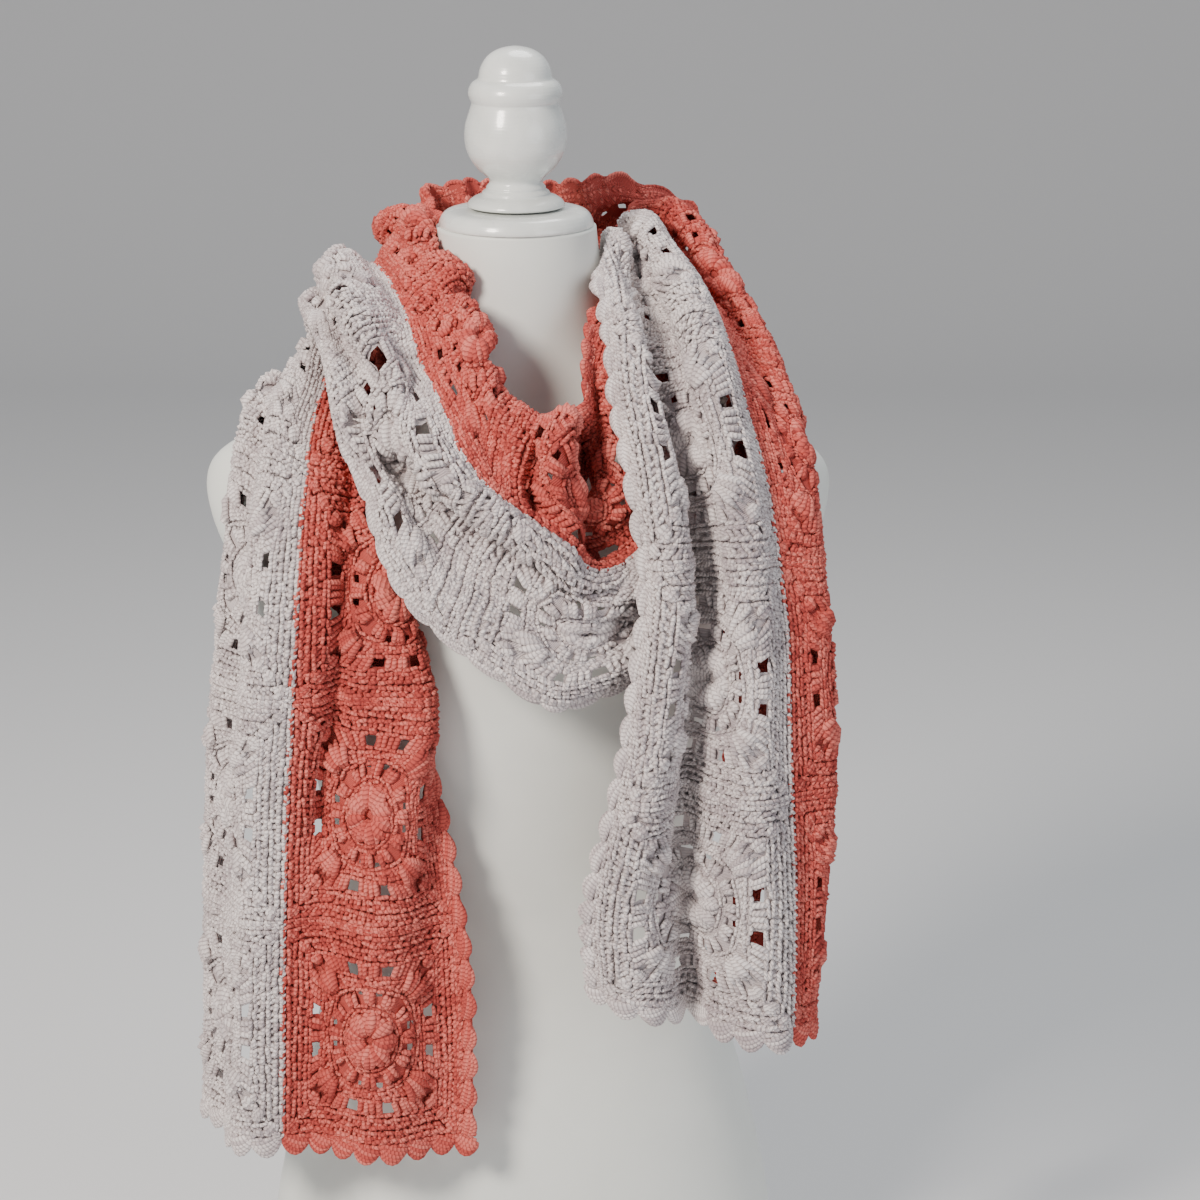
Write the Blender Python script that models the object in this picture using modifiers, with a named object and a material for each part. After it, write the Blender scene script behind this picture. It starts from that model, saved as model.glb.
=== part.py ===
"""A crochet scarf of flower squares, wound once round the neck of a limbless dress form.

Metres, +Z up, the form's front towards -Y. The origin is on the floor under the form. The scarf
is one long strip, two squares wide. It is described from hem to hem by a row for each section
across it; what its two colours do between the sections is worked out from the cloth's own width.
"""

from collections import namedtuple
from math import cos, pi, sin

import bmesh
import bpy
import numpy as np
from mathutils import Vector

MM = 0.001

# The squares, in millimetres
COLUMN = 135.0  # a column of squares, from the middle seam to the border
BORDER = 13.0  # the braid worked round the edge
HALF_WIDTH = COLUMN + BORDER
ROWS = 16  # squares from hem to hem
WALL, THINNEST = 3.0, 0.5  # the wall, and its least share where the cloth is drawn together
SEAM_GAP = 0.3  # between the two colours
JOINT_GAP, BRAID_GAP = 1.2, 1.4  # between two stretches, and between a panel and its braid
SPLIT_WAY = Vector((0.5, 0.3, 0.8))  # picks the same diagonal for both walls of a seam
FINE = 121  # points along half a section while its length is measured
HALF_STEPS = 74  # even steps across half the strip
SOFTENINGS = 60  # passes that round the bends of a section
PLEAT_RADIUS = 12.0  # the tightest bend at the top of a pleat
FORM_CLEAR = 6.0  # from the form to the middle of the cloth
CLIMB = 4.0  # how far up the form its slope is looked at
LAYER_GAP = 10.0  # from the middle of one layer to the middle of the next
FOLD_OPEN = 0.7  # how far apart two points of a fold stay, as a share of the cloth between them
EASINGS, EVENINGS = 60, 2  # passes that ease layers apart, and that even out each pass
CHUNK = 512  # points compared with the rest at a time
FINE_ROWS = 600  # sections drawn to measure the cloth's length
ROW_STEP, COLUMN_STEP = 14.0, 8.0
REACH = 15.0  # how far to each side the cloth is looked at to tell where it faces

# One square, from its middle: gaps lie between HOLE_IN and HOLE_OUT, from HOLE_START to HOLE_END
HOLE_START, HOLE_END = 9.0, 18.0
HOLE_IN, HOLE_OUT = 39.0, 46.0
HALF_LINES = (HOLE_START, HOLE_END, HOLE_IN, HOLE_OUT)
SQUARE_LINES = tuple(-line for line in reversed(HALF_LINES)) + HALF_LINES
PLAIN_LINES = (-HOLE_IN, 0.0, HOLE_IN)
FLOWER_RAISE, PETAL_RAISE, FAN_RAISE, JOIN_RAISE = 3.0, 2.0, 2.0, 1.0

# The braid: a puff and a dip to each scallop
SCALLOP = 24.0
PUFF_STEP = 12.0
BRAID_THICK, DIP_THICK = 6.0, 4.4
SCALLOP_DEPTH = 2.6
BRAID_SOFTENINGS = 3  # passes that round the braid's turns

Section = namedtuple(
    "Section",
    "stretch x y z out_turn out_rise share "
    "pale_x pale_y pale_z pale_bend_x pale_bend_y pale_bend_z "
    "coral_x coral_y coral_z coral_bend_x coral_bend_y coral_bend_z",
)

# x y z: a point of the middle seam. out_turn, out_rise: where the cloth faces, in degrees, 0 being
# the form's front. share: how much of the cut width is spread out here. pale and coral: the two
# edges, from the seam, and how far the cloth between bows to one side.
SECTIONS = [
    Section("tail_left", -144, -122, 168, 0, 0, 0.93, -38, 92, 0, -22, -20, 0, 121, -2, 0, 0, -4, 0),
    Section("tail_left", -141, -122, 259, 0, 0, 0.92, -38, 92, 0, -22, -20, 0, 118, 0, 0, 0, -4, 0),
    Section("tail_left", -139, -122, 317, 0, 0, 0.92, -38, 92, 0, -22, -20, 0, 110, 6, 0, 6, -6, 0),
    Section("tail_left", -135, -122, 386, 0, 0, 0.92, -38, 90, 0, -22, -20, 0, 88, 22, 0, 26, -10, 0),
    Section("tail_left", -131, -120, 448, 0, 0, 0.92, -36, 86, 0, -20, -20, 0, 52, 26, 0, 56, -8, 0),
    Section("tail_left", -127, -116, 505, 0, 10, 0.9, -34, 82, 0, -18, -18, 2, 10, 28, 0, 64, -6, 0),
    Section("tail_left", -124, -102, 558, 0, 30, 0.8, -34, 72, -6, -16, -16, 10, -8, 28, -6, 54, -6, 4),
    Section("tail_left", -119, -72, 604, 0, 50, 0.7, -30, 62, -20, -14, -10, 14, -2, 24, -18, 42, -4, 10),
    Section("back_under", -110, -26, 628, 340, 70, 0.7, -36, 44, -44, -10, -4, 12, 22, 16, -22, 30, -4, 14),
    Section("back_under", -94, 30, 634, 250, 50, 0.7, -34, 26, -78, -10, 8, 10, 32, -6, 24, 2, -4, 14),
    Section("back_under", -56, 74, 612, 205, 25, 0.8, -12, 26, -102, -4, 10, 0, 14, -8, 74, 0, 0, 0),
    Section("back_under", 0, 88, 602, 180, 15, 0.85, 0, 16, -108, 0, 10, 0, 0, -22, 98, 0, 0, 0),
    Section("back_under", 50, 78, 608, 150, 25, 0.8, 14, 24, -98, 4, 10, 0, -10, -14, 82, 0, 0, 0),
    Section("loop", 86, 34, 622, 110, 50, 0.72, 36, 30, -58, 10, 6, 10, -34, -8, 42, 0, 0, 0),
    Section("loop", 102, -20, 612, 50, 60, 0.68, 40, 0, -34, 10, -6, 8, -52, -10, 58, 0, 0, 0),
    Section("loop", 102, -74, 584, 20, 35, 0.64, 10, 6, -64, 4, -2, 6, -62, -2, 68, 0, 0, 0),
    Section("loop", 86, -110, 548, 0, 20, 0.75, -6, -8, -76, 4, -8, 0, -46, 14, 74, 0, 0, 0),
    Section("loop", 55, -138, 530, 0, 15, 0.9, -16, -2, -76, 0, -6, 0, -22, 40, 70, 0, 0, 0),
    Section("loop", 26, -148, 546, 0, 15, 0.9, -14, 4, -90, 0, -6, 0, -4, 56, 46, 0, -6, 34),
    Section("loop", -17, -138, 588, 0, 15, 0.88, -34, -6, -84, -4, -6, 0, 12, 46, 24, 6, 0, 20),
    Section("loop", -42, -108, 624, 0, 20, 0.8, -32, -28, -80, -6, -6, 0, 18, 36, -6, 12, -4, 30),
    Section("loop", -65, -54, 664, 340, 40, 0.74, -35, -36, -46, -14, -10, 10, 14, 22, -20, 24, -4, 30),
    Section("back_over", -85, 10, 684, 290, 40, 0.72, -24, 6, -34, -26, -6, 2, 20, 6, -16, 18, -4, 28),
    Section("back_over", -88, 40, 679, 260, 35, 0.72, -30, 14, -60, -16, 2, 4, 36, -6, 12, 0, -2, 14),
    Section("back_over", -84, 68, 668, 235, 20, 0.76, -34, 24, -84, -10, 6, 6, 24, -8, 42, -2, -4, 0),
    Section("back_over", -50, 108, 634, 205, 12, 0.88, -12, 20, -104, -4, 10, 10, 18, -24, 88, 0, 0, 0),
    Section("back_over", 0, 120, 620, 180, 10, 0.92, 0, 10, -112, 0, 10, 10, 0, -36, 102, 0, 0, 0),
    Section("back_over", 44, 110, 644, 150, 20, 0.82, 4, 2, -70, 6, 10, 0, -10, -24, 76, 8, 12, 0),
    Section("back_over", 60, 88, 674, 140, 35, 0.62, 4, -4, -58, 0, 4, 0, 26, 20, 28, 0, 0, 2),
    Section("tail_right", 70, 64, 694, 110, 60, 0.6, 0, -13, -42, 0, 0, 0, 38, 12, -6, 2, 2, 8),
    Section("tail_right", 80, 38, 696, 80, 70, 0.6, -25, -13, -18, 0, 0, 4, 34, 8, -19, 9, 4, 4),
    Section("tail_right", 89, 12, 688, 0, 80, 0.66, -38, -8, 0, 0, 0, 0, 24, 0, -30, 17, 2, 0),
    Section("tail_right", 102, -12, 678, 0, 75, 0.68, -52, -8, 0, 0, 0, 0, 14, 2, -36, 22, 0, -2),
    Section("tail_right", 114, -38, 664, 0, 65, 0.7, -60, -8, 0, 0, 0, 0, 12, 6, -36, 22, 2, -2),
    Section("tail_right", 123, -70, 646, 0, 50, 0.72, -64, -4, 0, 0, 0, 0, 8, 16, -34, 24, 4, -4),
    Section("tail_right", 133, -100, 618, 0, 35, 0.76, -70, -4, 0, 0, 0, 0, 0, 34, -24, 30, 4, -6),
    Section("tail_right", 142, -128, 580, 0, 20, 0.8, -71, -8, 0, 0, 0, 0, -8, 46, -6, 38, 0, -4),
    Section("tail_right", 149, -144, 526, 0, 5, 0.9, -70, -4, 0, 0, 0, 0, -26, 54, 0, 44, 0, 0),
    Section("tail_right", 155, -150, 469, 0, 0, 0.92, -86, -4, 0, 0, 0, 0, -34, 54, 0, 50, 0, 0),
    Section("tail_right", 159, -150, 400, 0, 0, 0.93, -104, -4, 0, 0, 0, 0, -36, 54, 0, 47, 0, 0),
    Section("tail_right", 163, -148, 330, 0, 0, 0.96, -124, 0, 0, 0, 0, 0, -42, 54, 0, 38, 0, 0),
    Section("tail_right", 164, -146, 252, 0, 0, 0.94, -122, 2, 30, 0, 0, -8, -44, 54, 8, 28, 0, 0),
]

FormRing = namedtuple("FormRing", "z half_width front back")
TORSO = [
    FormRing(0, 165, 106, 100),
    FormRing(70, 160, 106, 104),
    FormRing(140, 146, 98, 94),
    FormRing(215, 127, 84, 80),
    FormRing(280, 120, 80, 72),
    FormRing(350, 126, 86, 70),
    FormRing(420, 146, 94, 72),
    FormRing(480, 168, 94, 76),
    FormRing(530, 188, 84, 76),
    FormRing(562, 188, 70, 66),
    FormRing(582, 162, 58, 56),
    FormRing(602, 116, 50, 52),
    FormRing(625, 74, 47, 52),
    FormRing(650, 56, 46, 50),
    FormRing(690, 50, 46, 48),
    FormRing(708, 48, 45, 46),
]
TORSO_SIDES = 32
TORSO_Z, TORSO_WIDE, TORSO_FRONT, TORSO_BACK = np.array(TORSO, dtype=float).T

TurnedRing = namedtuple("TurnedRing", "radius z")
CAP = [
    TurnedRing(0, 718.5), TurnedRing(40, 718), TurnedRing(44, 716), TurnedRing(46.5, 711),
    TurnedRing(46.5, 708.3), TurnedRing(0, 708.3),
]
FINIAL = [
    TurnedRing(0, 815), TurnedRing(9, 813.5), TurnedRing(16.5, 809), TurnedRing(21, 801.5),
    TurnedRing(22.5, 795.5), TurnedRing(26.5, 793), TurnedRing(28.5, 787), TurnedRing(26.5, 782),
    TurnedRing(27.5, 778), TurnedRing(31, 766), TurnedRing(29.5, 753), TurnedRing(23, 742.5),
    TurnedRing(16.5, 737), TurnedRing(15.5, 734), TurnedRing(19, 729), TurnedRing(25, 725.5),
    TurnedRing(29, 722), TurnedRing(29.5, 718.8), TurnedRing(0, 718.8),
]
TURNED_SIDES = 28

# name: colour (linear), roughness
LOOKS = {
    "pale_yarn": ((0.56, 0.51, 0.53), 0.9),
    "coral_yarn": ((0.62, 0.13, 0.10), 0.9),
    "painted_wood": ((0.72, 0.74, 0.72), 0.3),
    "form_cover": ((0.74, 0.73, 0.70), 0.6),
}


def empty_scene():
    for thing in list(bpy.data.objects):
        bpy.data.objects.remove(thing, do_unlink=True)


def material(name):
    colour, roughness = LOOKS[name]
    made = bpy.data.materials.get(name) or bpy.data.materials.new(name)
    made.use_nodes = True
    shader = made.node_tree.nodes["Principled BSDF"]
    shader.inputs["Base Color"].default_value = (*colour, 1.0)
    shader.inputs["Roughness"].default_value = roughness
    return made


def named_object(name, mesh, look, parts):
    thing = bpy.data.objects.new(name, mesh)
    parts.objects.link(thing)
    mesh.materials.append(material(look))
    mesh.shade_smooth()
    return thing


# The strip as a surface -----------------------------------------------------------------------


def smooth_row(table, at):
    """Rows of a table read at fractional positions, on a curve through every row."""
    last = len(table) - 1
    first = np.clip(np.floor(at).astype(int), 0, last - 1)
    f = (at - first)[:, None]
    before, here, there, after = (table[np.clip(first + k, 0, last)] for k in (-1, 0, 1, 2))
    before = np.where((first == 0)[:, None], 2 * here - there, before)
    after = np.where((first == last - 1)[:, None], 2 * there - here, after)
    leave, arrive = (there - before) / 2, (after - here) / 2
    return (
        (2 * f**3 - 3 * f**2 + 1) * here
        + (f**3 - 2 * f**2 + f) * leave
        + (3 * f**2 - 2 * f**3) * there
        + (f**3 - f**2) * arrive
    )


def unit(vectors):
    return vectors / np.linalg.norm(vectors, axis=-1, keepdims=True)


def lengths(points):
    steps = np.linalg.norm(np.diff(points, axis=1), axis=2)
    return np.concatenate([np.zeros((len(points), 1)), np.cumsum(steps, axis=1)], axis=1)


def half_section(edge, bend, out, width, first_fold):
    """From the seam to an edge: a bowed line, pleated in three until it is as long as the cloth."""
    s = np.linspace(0.0, 1.0, FINE)
    line = edge[:, None] * s[None, :, None] + bend[:, None] * (np.sin(pi * s) ** 0.8)[None, :, None]
    toward = unit(edge)
    sideways = unit(out - (out * toward).sum(axis=1, keepdims=True) * toward)
    pleats = first_fold * np.sin(3 * pi * s)[None, :, None] * sideways[:, None]
    least, most = np.zeros(len(edge)), (lengths(line)[:, -1] / (3 * pi)) ** 2 / PLEAT_RADIUS
    for _ in range(18):
        depth = (least + most) / 2
        short = lengths(line + depth[:, None, None] * pleats)[:, -1] < width
        least, most = np.where(short, depth, least), np.where(short, most, depth)
    points = line + least[:, None, None] * pleats
    run = lengths(points)
    even = np.linspace(0, 1, HALF_STEPS + 1)
    return np.array(
        [[np.interp(even * r[-1], r, p[:, axis]) for axis in range(3)] for p, r in zip(points, run)]
    ).transpose(0, 2, 1)


def softened(points):
    """Sections with their sharp bends rounded, each end held where it is."""
    for _ in range(SOFTENINGS):
        middle = (points[:, :-2] + 2 * points[:, 1:-1] + points[:, 2:]) / 4
        points = np.concatenate([points[:, :1], middle, points[:, -1:]], axis=1)
    return points


def clear_of_form(points):
    """Points moved straight out of the torso until the cloth clears it."""
    for _ in range(3):
        x, y, z = points[..., 0], points[..., 1], points[..., 2]
        wide = np.interp(z, TORSO_Z, TORSO_WIDE)
        front, back = np.interp(z, TORSO_Z, TORSO_FRONT), np.interp(z, TORSO_Z, TORSO_BACK)
        deep = np.where(y < 0, front, back)
        ring = np.hypot(x / wide, y / deep) + 1e-6
        wide_on, front_on, back_on = (
            np.interp(z + CLIMB, TORSO_Z, half) for half in (TORSO_WIDE, TORSO_FRONT, TORSO_BACK)
        )
        ring_on = np.hypot(x / wide_on, y / np.where(y < 0, front_on, back_on))
        slope = np.stack([x / wide**2 / ring, y / deep**2 / ring, (ring_on - ring) / CLIMB], axis=-1)
        steep = np.linalg.norm(slope, axis=-1)
        short = np.maximum(0.0, FORM_CLEAR - (ring - 1) / steep)
        points = points + slope / steep[..., None] * short[..., None]
    return points


SECTION_ROWS = np.array([row[1:] for row in SECTIONS])


def drawn_cloth(at):
    """Sections of the strip as the table draws them: at is a position in the table."""
    rows = smooth_row(SECTION_ROWS, at)
    turn, rise = np.radians(rows[:, 3]), np.radians(rows[:, 4])
    out = np.stack([np.sin(turn) * np.cos(rise), -np.cos(turn) * np.cos(rise), np.sin(rise)], axis=1)
    width = rows[:, 5] * HALF_WIDTH
    pale = half_section(rows[:, 6:9], rows[:, 9:12], out, width, 1)
    coral = half_section(rows[:, 12:15], rows[:, 15:18], out, width, -1)
    return softened(np.concatenate([pale[:, :0:-1], coral], axis=1)) + rows[:, None, :3]


def close_pairs(points):
    """Pairs of points that are nearer to each other than two layers may be."""
    square = (points**2).sum(axis=1)
    found = []
    for start in range(0, len(points), CHUNK):
        some = slice(start, start + CHUNK)
        near = square[some, None] + square[None] - 2 * points[some] @ points.T < LAYER_GAP**2
        first, second = np.nonzero(near)
        later = second > first + start
        found.append(np.stack([first[later] + start, second[later]]))
    return np.concatenate(found, axis=1)


def evened(values):
    """A field on the cloth, smoothed both ways."""
    for _ in range(EVENINGS):
        for axis in (0, 1):
            ends = [(1, 1) if k == axis else (0, 0) for k in range(3)]
            wider = np.moveaxis(np.pad(values, ends, mode="edge"), axis, 0)
            values = np.moveaxis((wider[:-2] + 2 * wider[1:-1] + wider[2:]) / 4, 0, axis)
    return values


def kept_apart(grid, row_step, column_step):
    """The cloth with its layers and folds eased apart until one wall clears the next."""
    rows, wide = grid.shape[:2]
    for _ in range(EASINGS):
        points = grid.reshape(-1, 3)
        first, second = close_pairs(points)
        gap = points[second] - points[first]
        apart = np.linalg.norm(gap, axis=1)
        along, across = second // wide - first // wide, second % wide - first % wide
        cloth = np.hypot(along * row_step, across * column_step)
        short = np.maximum(0.0, np.minimum(LAYER_GAP, FOLD_OPEN * cloth) - apart)
        push = gap / apart[:, None] * short[:, None]
        move, count = np.zeros_like(points), np.full(len(points), 1e-6)
        for ends, way in ((first, -1), (second, 1)):
            np.add.at(move, ends, way * push)
            np.add.at(count, ends, short > 0)
        grid = grid + evened((move / count[:, None]).reshape(grid.shape))
        grid = clear_of_form(grid)
    return grid


def eased_cloth():
    """The cloth as even rows of points, one every ROW_STEP along it and COLUMN_STEP across."""
    at = np.linspace(0, len(SECTIONS) - 1, FINE_ROWS)
    drawn = drawn_cloth(at)
    run = lengths(drawn[:, HALF_STEPS // 2 :: HALF_STEPS // 2].transpose(1, 0, 2))[:3].mean(axis=0)
    even = np.linspace(0, run[-1], round(run[-1] / ROW_STEP) + 1)
    sections = drawn_cloth(np.interp(even, run, at))[:, :: round(COLUMN_STEP / HALF_WIDTH * HALF_STEPS)]
    grid = kept_apart(sections, ROW_STEP, COLUMN_STEP)
    return grid, np.interp(even, run, at)


CLOTH, TABLE_PLACE = eased_cloth()
CLOTH_RUN = lengths(CLOTH[:, 1:-1].transpose(1, 0, 2)).mean(axis=0)
PITCH = CLOTH_RUN[-1] / ROWS


def strip(along, across):
    """Points of the cloth, along and across in millimetres from the first hem and the middle seam."""
    rows = smooth_row(CLOTH.reshape(len(CLOTH), -1), np.interp(along, CLOTH_RUN, np.arange(len(CLOTH))))
    columns = rows.reshape(len(rows), -1, 3).transpose(1, 0, 2)
    place = (np.asarray(across) / HALF_WIDTH + 1) * (len(columns) - 1) / 2
    points = smooth_row(columns.reshape(len(columns), -1), place)
    return points.reshape(len(place), -1, 3).transpose(1, 0, 2)


def facing(along, across, side):
    """Unit normals on the side that shows, and how far the cloth is spread out across, at most 1."""
    after, before = (np.clip(along + step, 0, CLOTH_RUN[-1]) for step in (REACH, -REACH))
    right, left = (np.clip(across + step, -HALF_WIDTH, HALF_WIDTH) for step in (REACH, -REACH))
    wide = strip(along, right) - strip(along, left)
    normal = np.cross(wide, strip(after, across) - strip(before, across))
    spread = np.linalg.norm(wide, axis=2) / (right - left)
    return side * unit(normal), np.minimum(1.0, spread)


def stretch_of(row):
    return SECTIONS[int(np.interp((row + 0.5) * PITCH, CLOTH_RUN, TABLE_PLACE))].stretch


def stretches():
    """Each stretch's first and last square, and the side of the cloth that shows there."""
    names = [stretch_of(row) for row in range(ROWS)]
    for name in dict.fromkeys(names):
        first, last = names.index(name), ROWS - names[::-1].index(name)
        yield name, first, last, -1.0 if name == "tail_right" else 1.0


# Panels of squares ----------------------------------------------------------------------------


def column_lines():
    """Lines across one column, from the seam to the border, with each line's place in its square."""
    middle = COLUMN / 2
    places = np.concatenate([[-middle], SQUARE_LINES, [middle]])
    return places + middle, places


def row_lines(first, last, plain):
    """Lines along some rows of squares, with each line's place in its own square."""
    inner = np.array(PLAIN_LINES if plain else SQUARE_LINES)
    lines, places = [first * PITCH], [-COLUMN / 2]
    for row in range(first, last):
        lines += list((row + 0.5) * PITCH + inner * PITCH / COLUMN) + [(row + 1) * PITCH]
        places += list(inner) + [COLUMN / 2]
    return np.array(lines), np.array(places)


def drawn_in(lines, gap):
    """The same lines with the first and the last half a gap inside."""
    return np.concatenate([[lines[0] + gap / 2], lines[1:-1], [lines[-1] - gap / 2]])


def raised(along, across):
    """How far a square's surface stands up, from the places of its lines: flower, fans and joins."""
    a, b = np.abs(along)[:, None], np.abs(across)[None, :]
    far = np.maximum(a, b)
    up = np.where(far <= HOLE_START, FLOWER_RAISE, 0.0)
    up = np.where((far > HOLE_START) & (far <= HOLE_END), PETAL_RAISE, up)
    up = np.where((a >= HOLE_IN) & (b >= HOLE_IN) & (far <= HOLE_OUT), FAN_RAISE, up)
    return np.where(far > HOLE_OUT, JOIN_RAISE, up)


def is_gap(along, across):
    """Whether a cell of the square, known by its middle, is one of its gaps."""
    a, b = sorted((abs(along), abs(across)))
    return HOLE_START < a < HOLE_END and HOLE_IN < b < HOLE_OUT


def panel_grid(name, first, last, side, pale):
    """The middle of a panel's wall, its normals, plain and raised thickness, and its lines' places."""
    plain = name.startswith("back_under")
    across, across_places = column_lines()
    along, along_places = row_lines(first, last, plain)
    if pale:
        across, across_places = -across[::-1], across_places[::-1]
    points = strip(drawn_in(along, JOINT_GAP), drawn_in(across, SEAM_GAP))
    normals, spread = facing(along, across, side)
    wall = WALL * np.maximum(THINNEST, spread)
    thick = wall + (0.0 if plain else spread**2) * raised(along_places, across_places)
    return points, normals, wall, thick, along_places, across_places


def kept_cells(along_places, across_places, plain):
    """The cells of a panel's grid that are yarn and not a gap."""
    starts = np.where(along_places[:-1] == COLUMN / 2, -COLUMN / 2, along_places[:-1])
    for i, (start, end) in enumerate(zip(starts, along_places[1:])):
        for j, (near, far) in enumerate(zip(across_places[:-1], across_places[1:])):
            if plain or not is_gap((start + end) / 2, (near + far) / 2):
                yield i, j


def panel(name, first, last, side, pale, parts):
    """One colour of one stretch: a wall with a plain inside and the squares raised on the outside."""
    points, normals, wall, thick, *places = panel_grid(name, first, last, side, pale)
    wide = points.shape[1]
    inside = points - normals * wall[..., None] / 2
    outside = inside + normals * thick[..., None]
    shape = f"{name}_{'pale' if pale else 'coral'}"
    work = bmesh.new()
    low, high = (
        [work.verts.new(point) for point in layer.reshape(-1, 3) * MM] for layer in (inside, outside)
    )
    edges = {}
    for i, j in kept_cells(*places, name.startswith("back_under")):
        corner = i * wide + j
        ring = [corner, corner + 1, corner + wide + 1, corner + wide]
        if side < 0:
            ring.reverse()
        middles = [points.reshape(-1, 3)[k] for k in ring]
        if np.linalg.norm(middles[0] - middles[2]) > np.linalg.norm(middles[1] - middles[3]):
            ring = ring[1:] + ring[:1]
        for corners in (ring[:3], [ring[2], ring[3], ring[0]]):
            work.faces.new([high[k] for k in corners])
            work.faces.new([low[k] for k in reversed(corners)])
        for edge in zip(ring, ring[1:] + ring[:1]):
            if edge[::-1] in edges:
                del edges[edge[::-1]]
            else:
                edges[edge] = True
    for start, end in edges:
        if (high[start].co.dot(SPLIT_WAY) < high[end].co.dot(SPLIT_WAY)) == (side > 0):
            sides = ([low[start], low[end], high[end]], [low[start], high[end], high[start]])
        else:
            sides = ([low[start], low[end], high[start]], [low[end], high[end], high[start]])
        for corners in sides:
            work.faces.new(corners)
    bmesh.ops.delete(work, geom=[v for v in work.verts if not v.link_faces], context="VERTS")
    mesh = bpy.data.meshes.new(shape)
    work.to_mesh(mesh)
    work.free()
    return named_object(shape, mesh, "pale_yarn" if pale else "coral_yarn", parts)


# The braid ------------------------------------------------------------------------------------


def loft(name, rings, look, parts):
    """A closed solid through rings of equal length, with flat ends."""
    count, sides = rings.shape[:2]
    work = bmesh.new()
    verts = [[work.verts.new(point) for point in ring * MM] for ring in rings]
    for near, far in zip(verts[:-1], verts[1:]):
        for k in range(sides):
            work.faces.new([near[k], near[(k + 1) % sides], far[(k + 1) % sides], far[k]])
    work.faces.new(verts[0][::-1])
    work.faces.new(verts[-1])
    if work.calc_volume(signed=True) < 0:
        bmesh.ops.reverse_faces(work, faces=work.faces)
    mesh = bpy.data.meshes.new(name)
    work.to_mesh(mesh)
    work.free()
    return named_object(name, mesh, look, parts)


def evened_row(values):
    """Vectors along an edge with their sharp turns rounded."""
    for _ in range(BRAID_SOFTENINGS):
        between = (values[:-2] + 2 * values[1:-1] + values[2:]) / 4
        values = np.concatenate([values[:1], between, values[-1:]])
    return values


def braid(name, edge, middle, tip, normals, pale, parts):
    """Puffs worked along a panel's edge: three lines of the cloth, and its normals at the edge."""
    away = middle - edge
    outward = unit(away - (away * normals).sum(axis=1, keepdims=True) * normals)
    middle = (middle + edge + outward * BORDER / 2) / 2
    run = lengths(edge[None])[0]
    finer = [run[0]]
    for here, there in zip(run[:-1], run[1:]):
        cuts = max(1, round((there - here) / PUFF_STEP))
        finer += [here + (there - here) * (k + 1) / cuts for k in range(cuts)]
    finer = np.array(finer)
    edge, middle, tip, outward, normals = (
        np.stack([np.interp(finer, run, values[:, axis]) for axis in range(3)], axis=1)
        for values in (edge, middle - edge, tip - edge, outward, normals)
    )
    middle, tip, outward, normals = (evened_row(values) for values in (middle, tip, outward, normals))
    middle, tip = middle + edge, tip + edge
    swell = np.abs(np.sin(pi * finer * round(run[-1] / SCALLOP) / run[-1]))[:, None]
    lift = normals * (DIP_THICK + (BRAID_THICK - DIP_THICK) * swell) / 2
    tip = tip + (middle - tip) * SCALLOP_DEPTH / BORDER * 2 * (1 - swell)
    rings = np.stack([edge + outward * BRAID_GAP, middle + lift, tip, middle - lift], axis=1)
    loft(name, rings, "pale_yarn" if pale else "coral_yarn", parts)


def side_braid(name, first, last, side, pale, parts):
    """The braid along one edge of a stretch."""
    points, normals = panel_grid(name, first, last, side, pale)[:2]
    along, _ = row_lines(first, last, name.startswith("back_under"))
    outer, way = (0, -1) if pale else (-1, 1)
    lines = way * np.array([HALF_WIDTH - BORDER / 2, HALF_WIDTH])
    middle, tip = strip(drawn_in(along, JOINT_GAP), lines).transpose(1, 0, 2)
    shape = f"{name}_{'pale' if pale else 'coral'}_braid"
    braid(shape, points[:, outer], middle, tip, normals[:, outer], pale, parts)


def hem_braid(name, first, last, side, pale, parts):
    """The braid along one colour's half of a hem, in line with the cloth there."""
    points, normals = panel_grid(name, first, last, side, pale)[:2]
    end, before = (0, 1) if first == 0 else (-1, -2)
    outward = unit(points[end] - points[before])
    middle, tip = points[end] + outward * BORDER / 2, points[end] + outward * BORDER
    shape = f"{name}_{'pale' if pale else 'coral'}_hem"
    braid(shape, points[end], middle, tip, normals[end], pale, parts)


# The dress form -------------------------------------------------------------------------------


def torso(parts):
    rings = []
    for ring in TORSO:
        around = [2 * pi * k / TORSO_SIDES for k in range(TORSO_SIDES)]
        rings.append(
            [
                (ring.half_width * cos(a), (ring.back if sin(a) > 0 else ring.front) * sin(a), ring.z)
                for a in around
            ]
        )
    loft("form_torso", np.array(rings), "form_cover", parts)


def turned(name, profile, parts):
    mesh = bpy.data.meshes.new(name)
    mesh.from_pydata(
        [(ring.radius * MM, 0, ring.z * MM) for ring in profile],
        [(k, k + 1) for k in range(len(profile) - 1)],
        [],
    )
    thing = named_object(name, mesh, "painted_wood", parts)
    screw = thing.modifiers.new("turn", "SCREW")
    screw.steps = screw.render_steps = TURNED_SIDES
    screw.use_merge_vertices = True
    screw.merge_threshold = 0.00005
    return thing


def build():
    empty_scene()
    parts = bpy.data.collections.new("crochet_scarf")
    bpy.context.scene.collection.children.link(parts)
    torso(parts)
    turned("form_cap", CAP, parts)
    turned("form_finial", FINIAL, parts)
    for name, first, last, side in stretches():
        for pale in (True, False):
            panel(name, first, last, side, pale, parts)
            side_braid(name, first, last, side, pale, parts)
            if first == 0 or last == ROWS:
                hem_braid(name, first, last, side, pale, parts)


build()
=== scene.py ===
from math import cos, pi, sin

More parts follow.
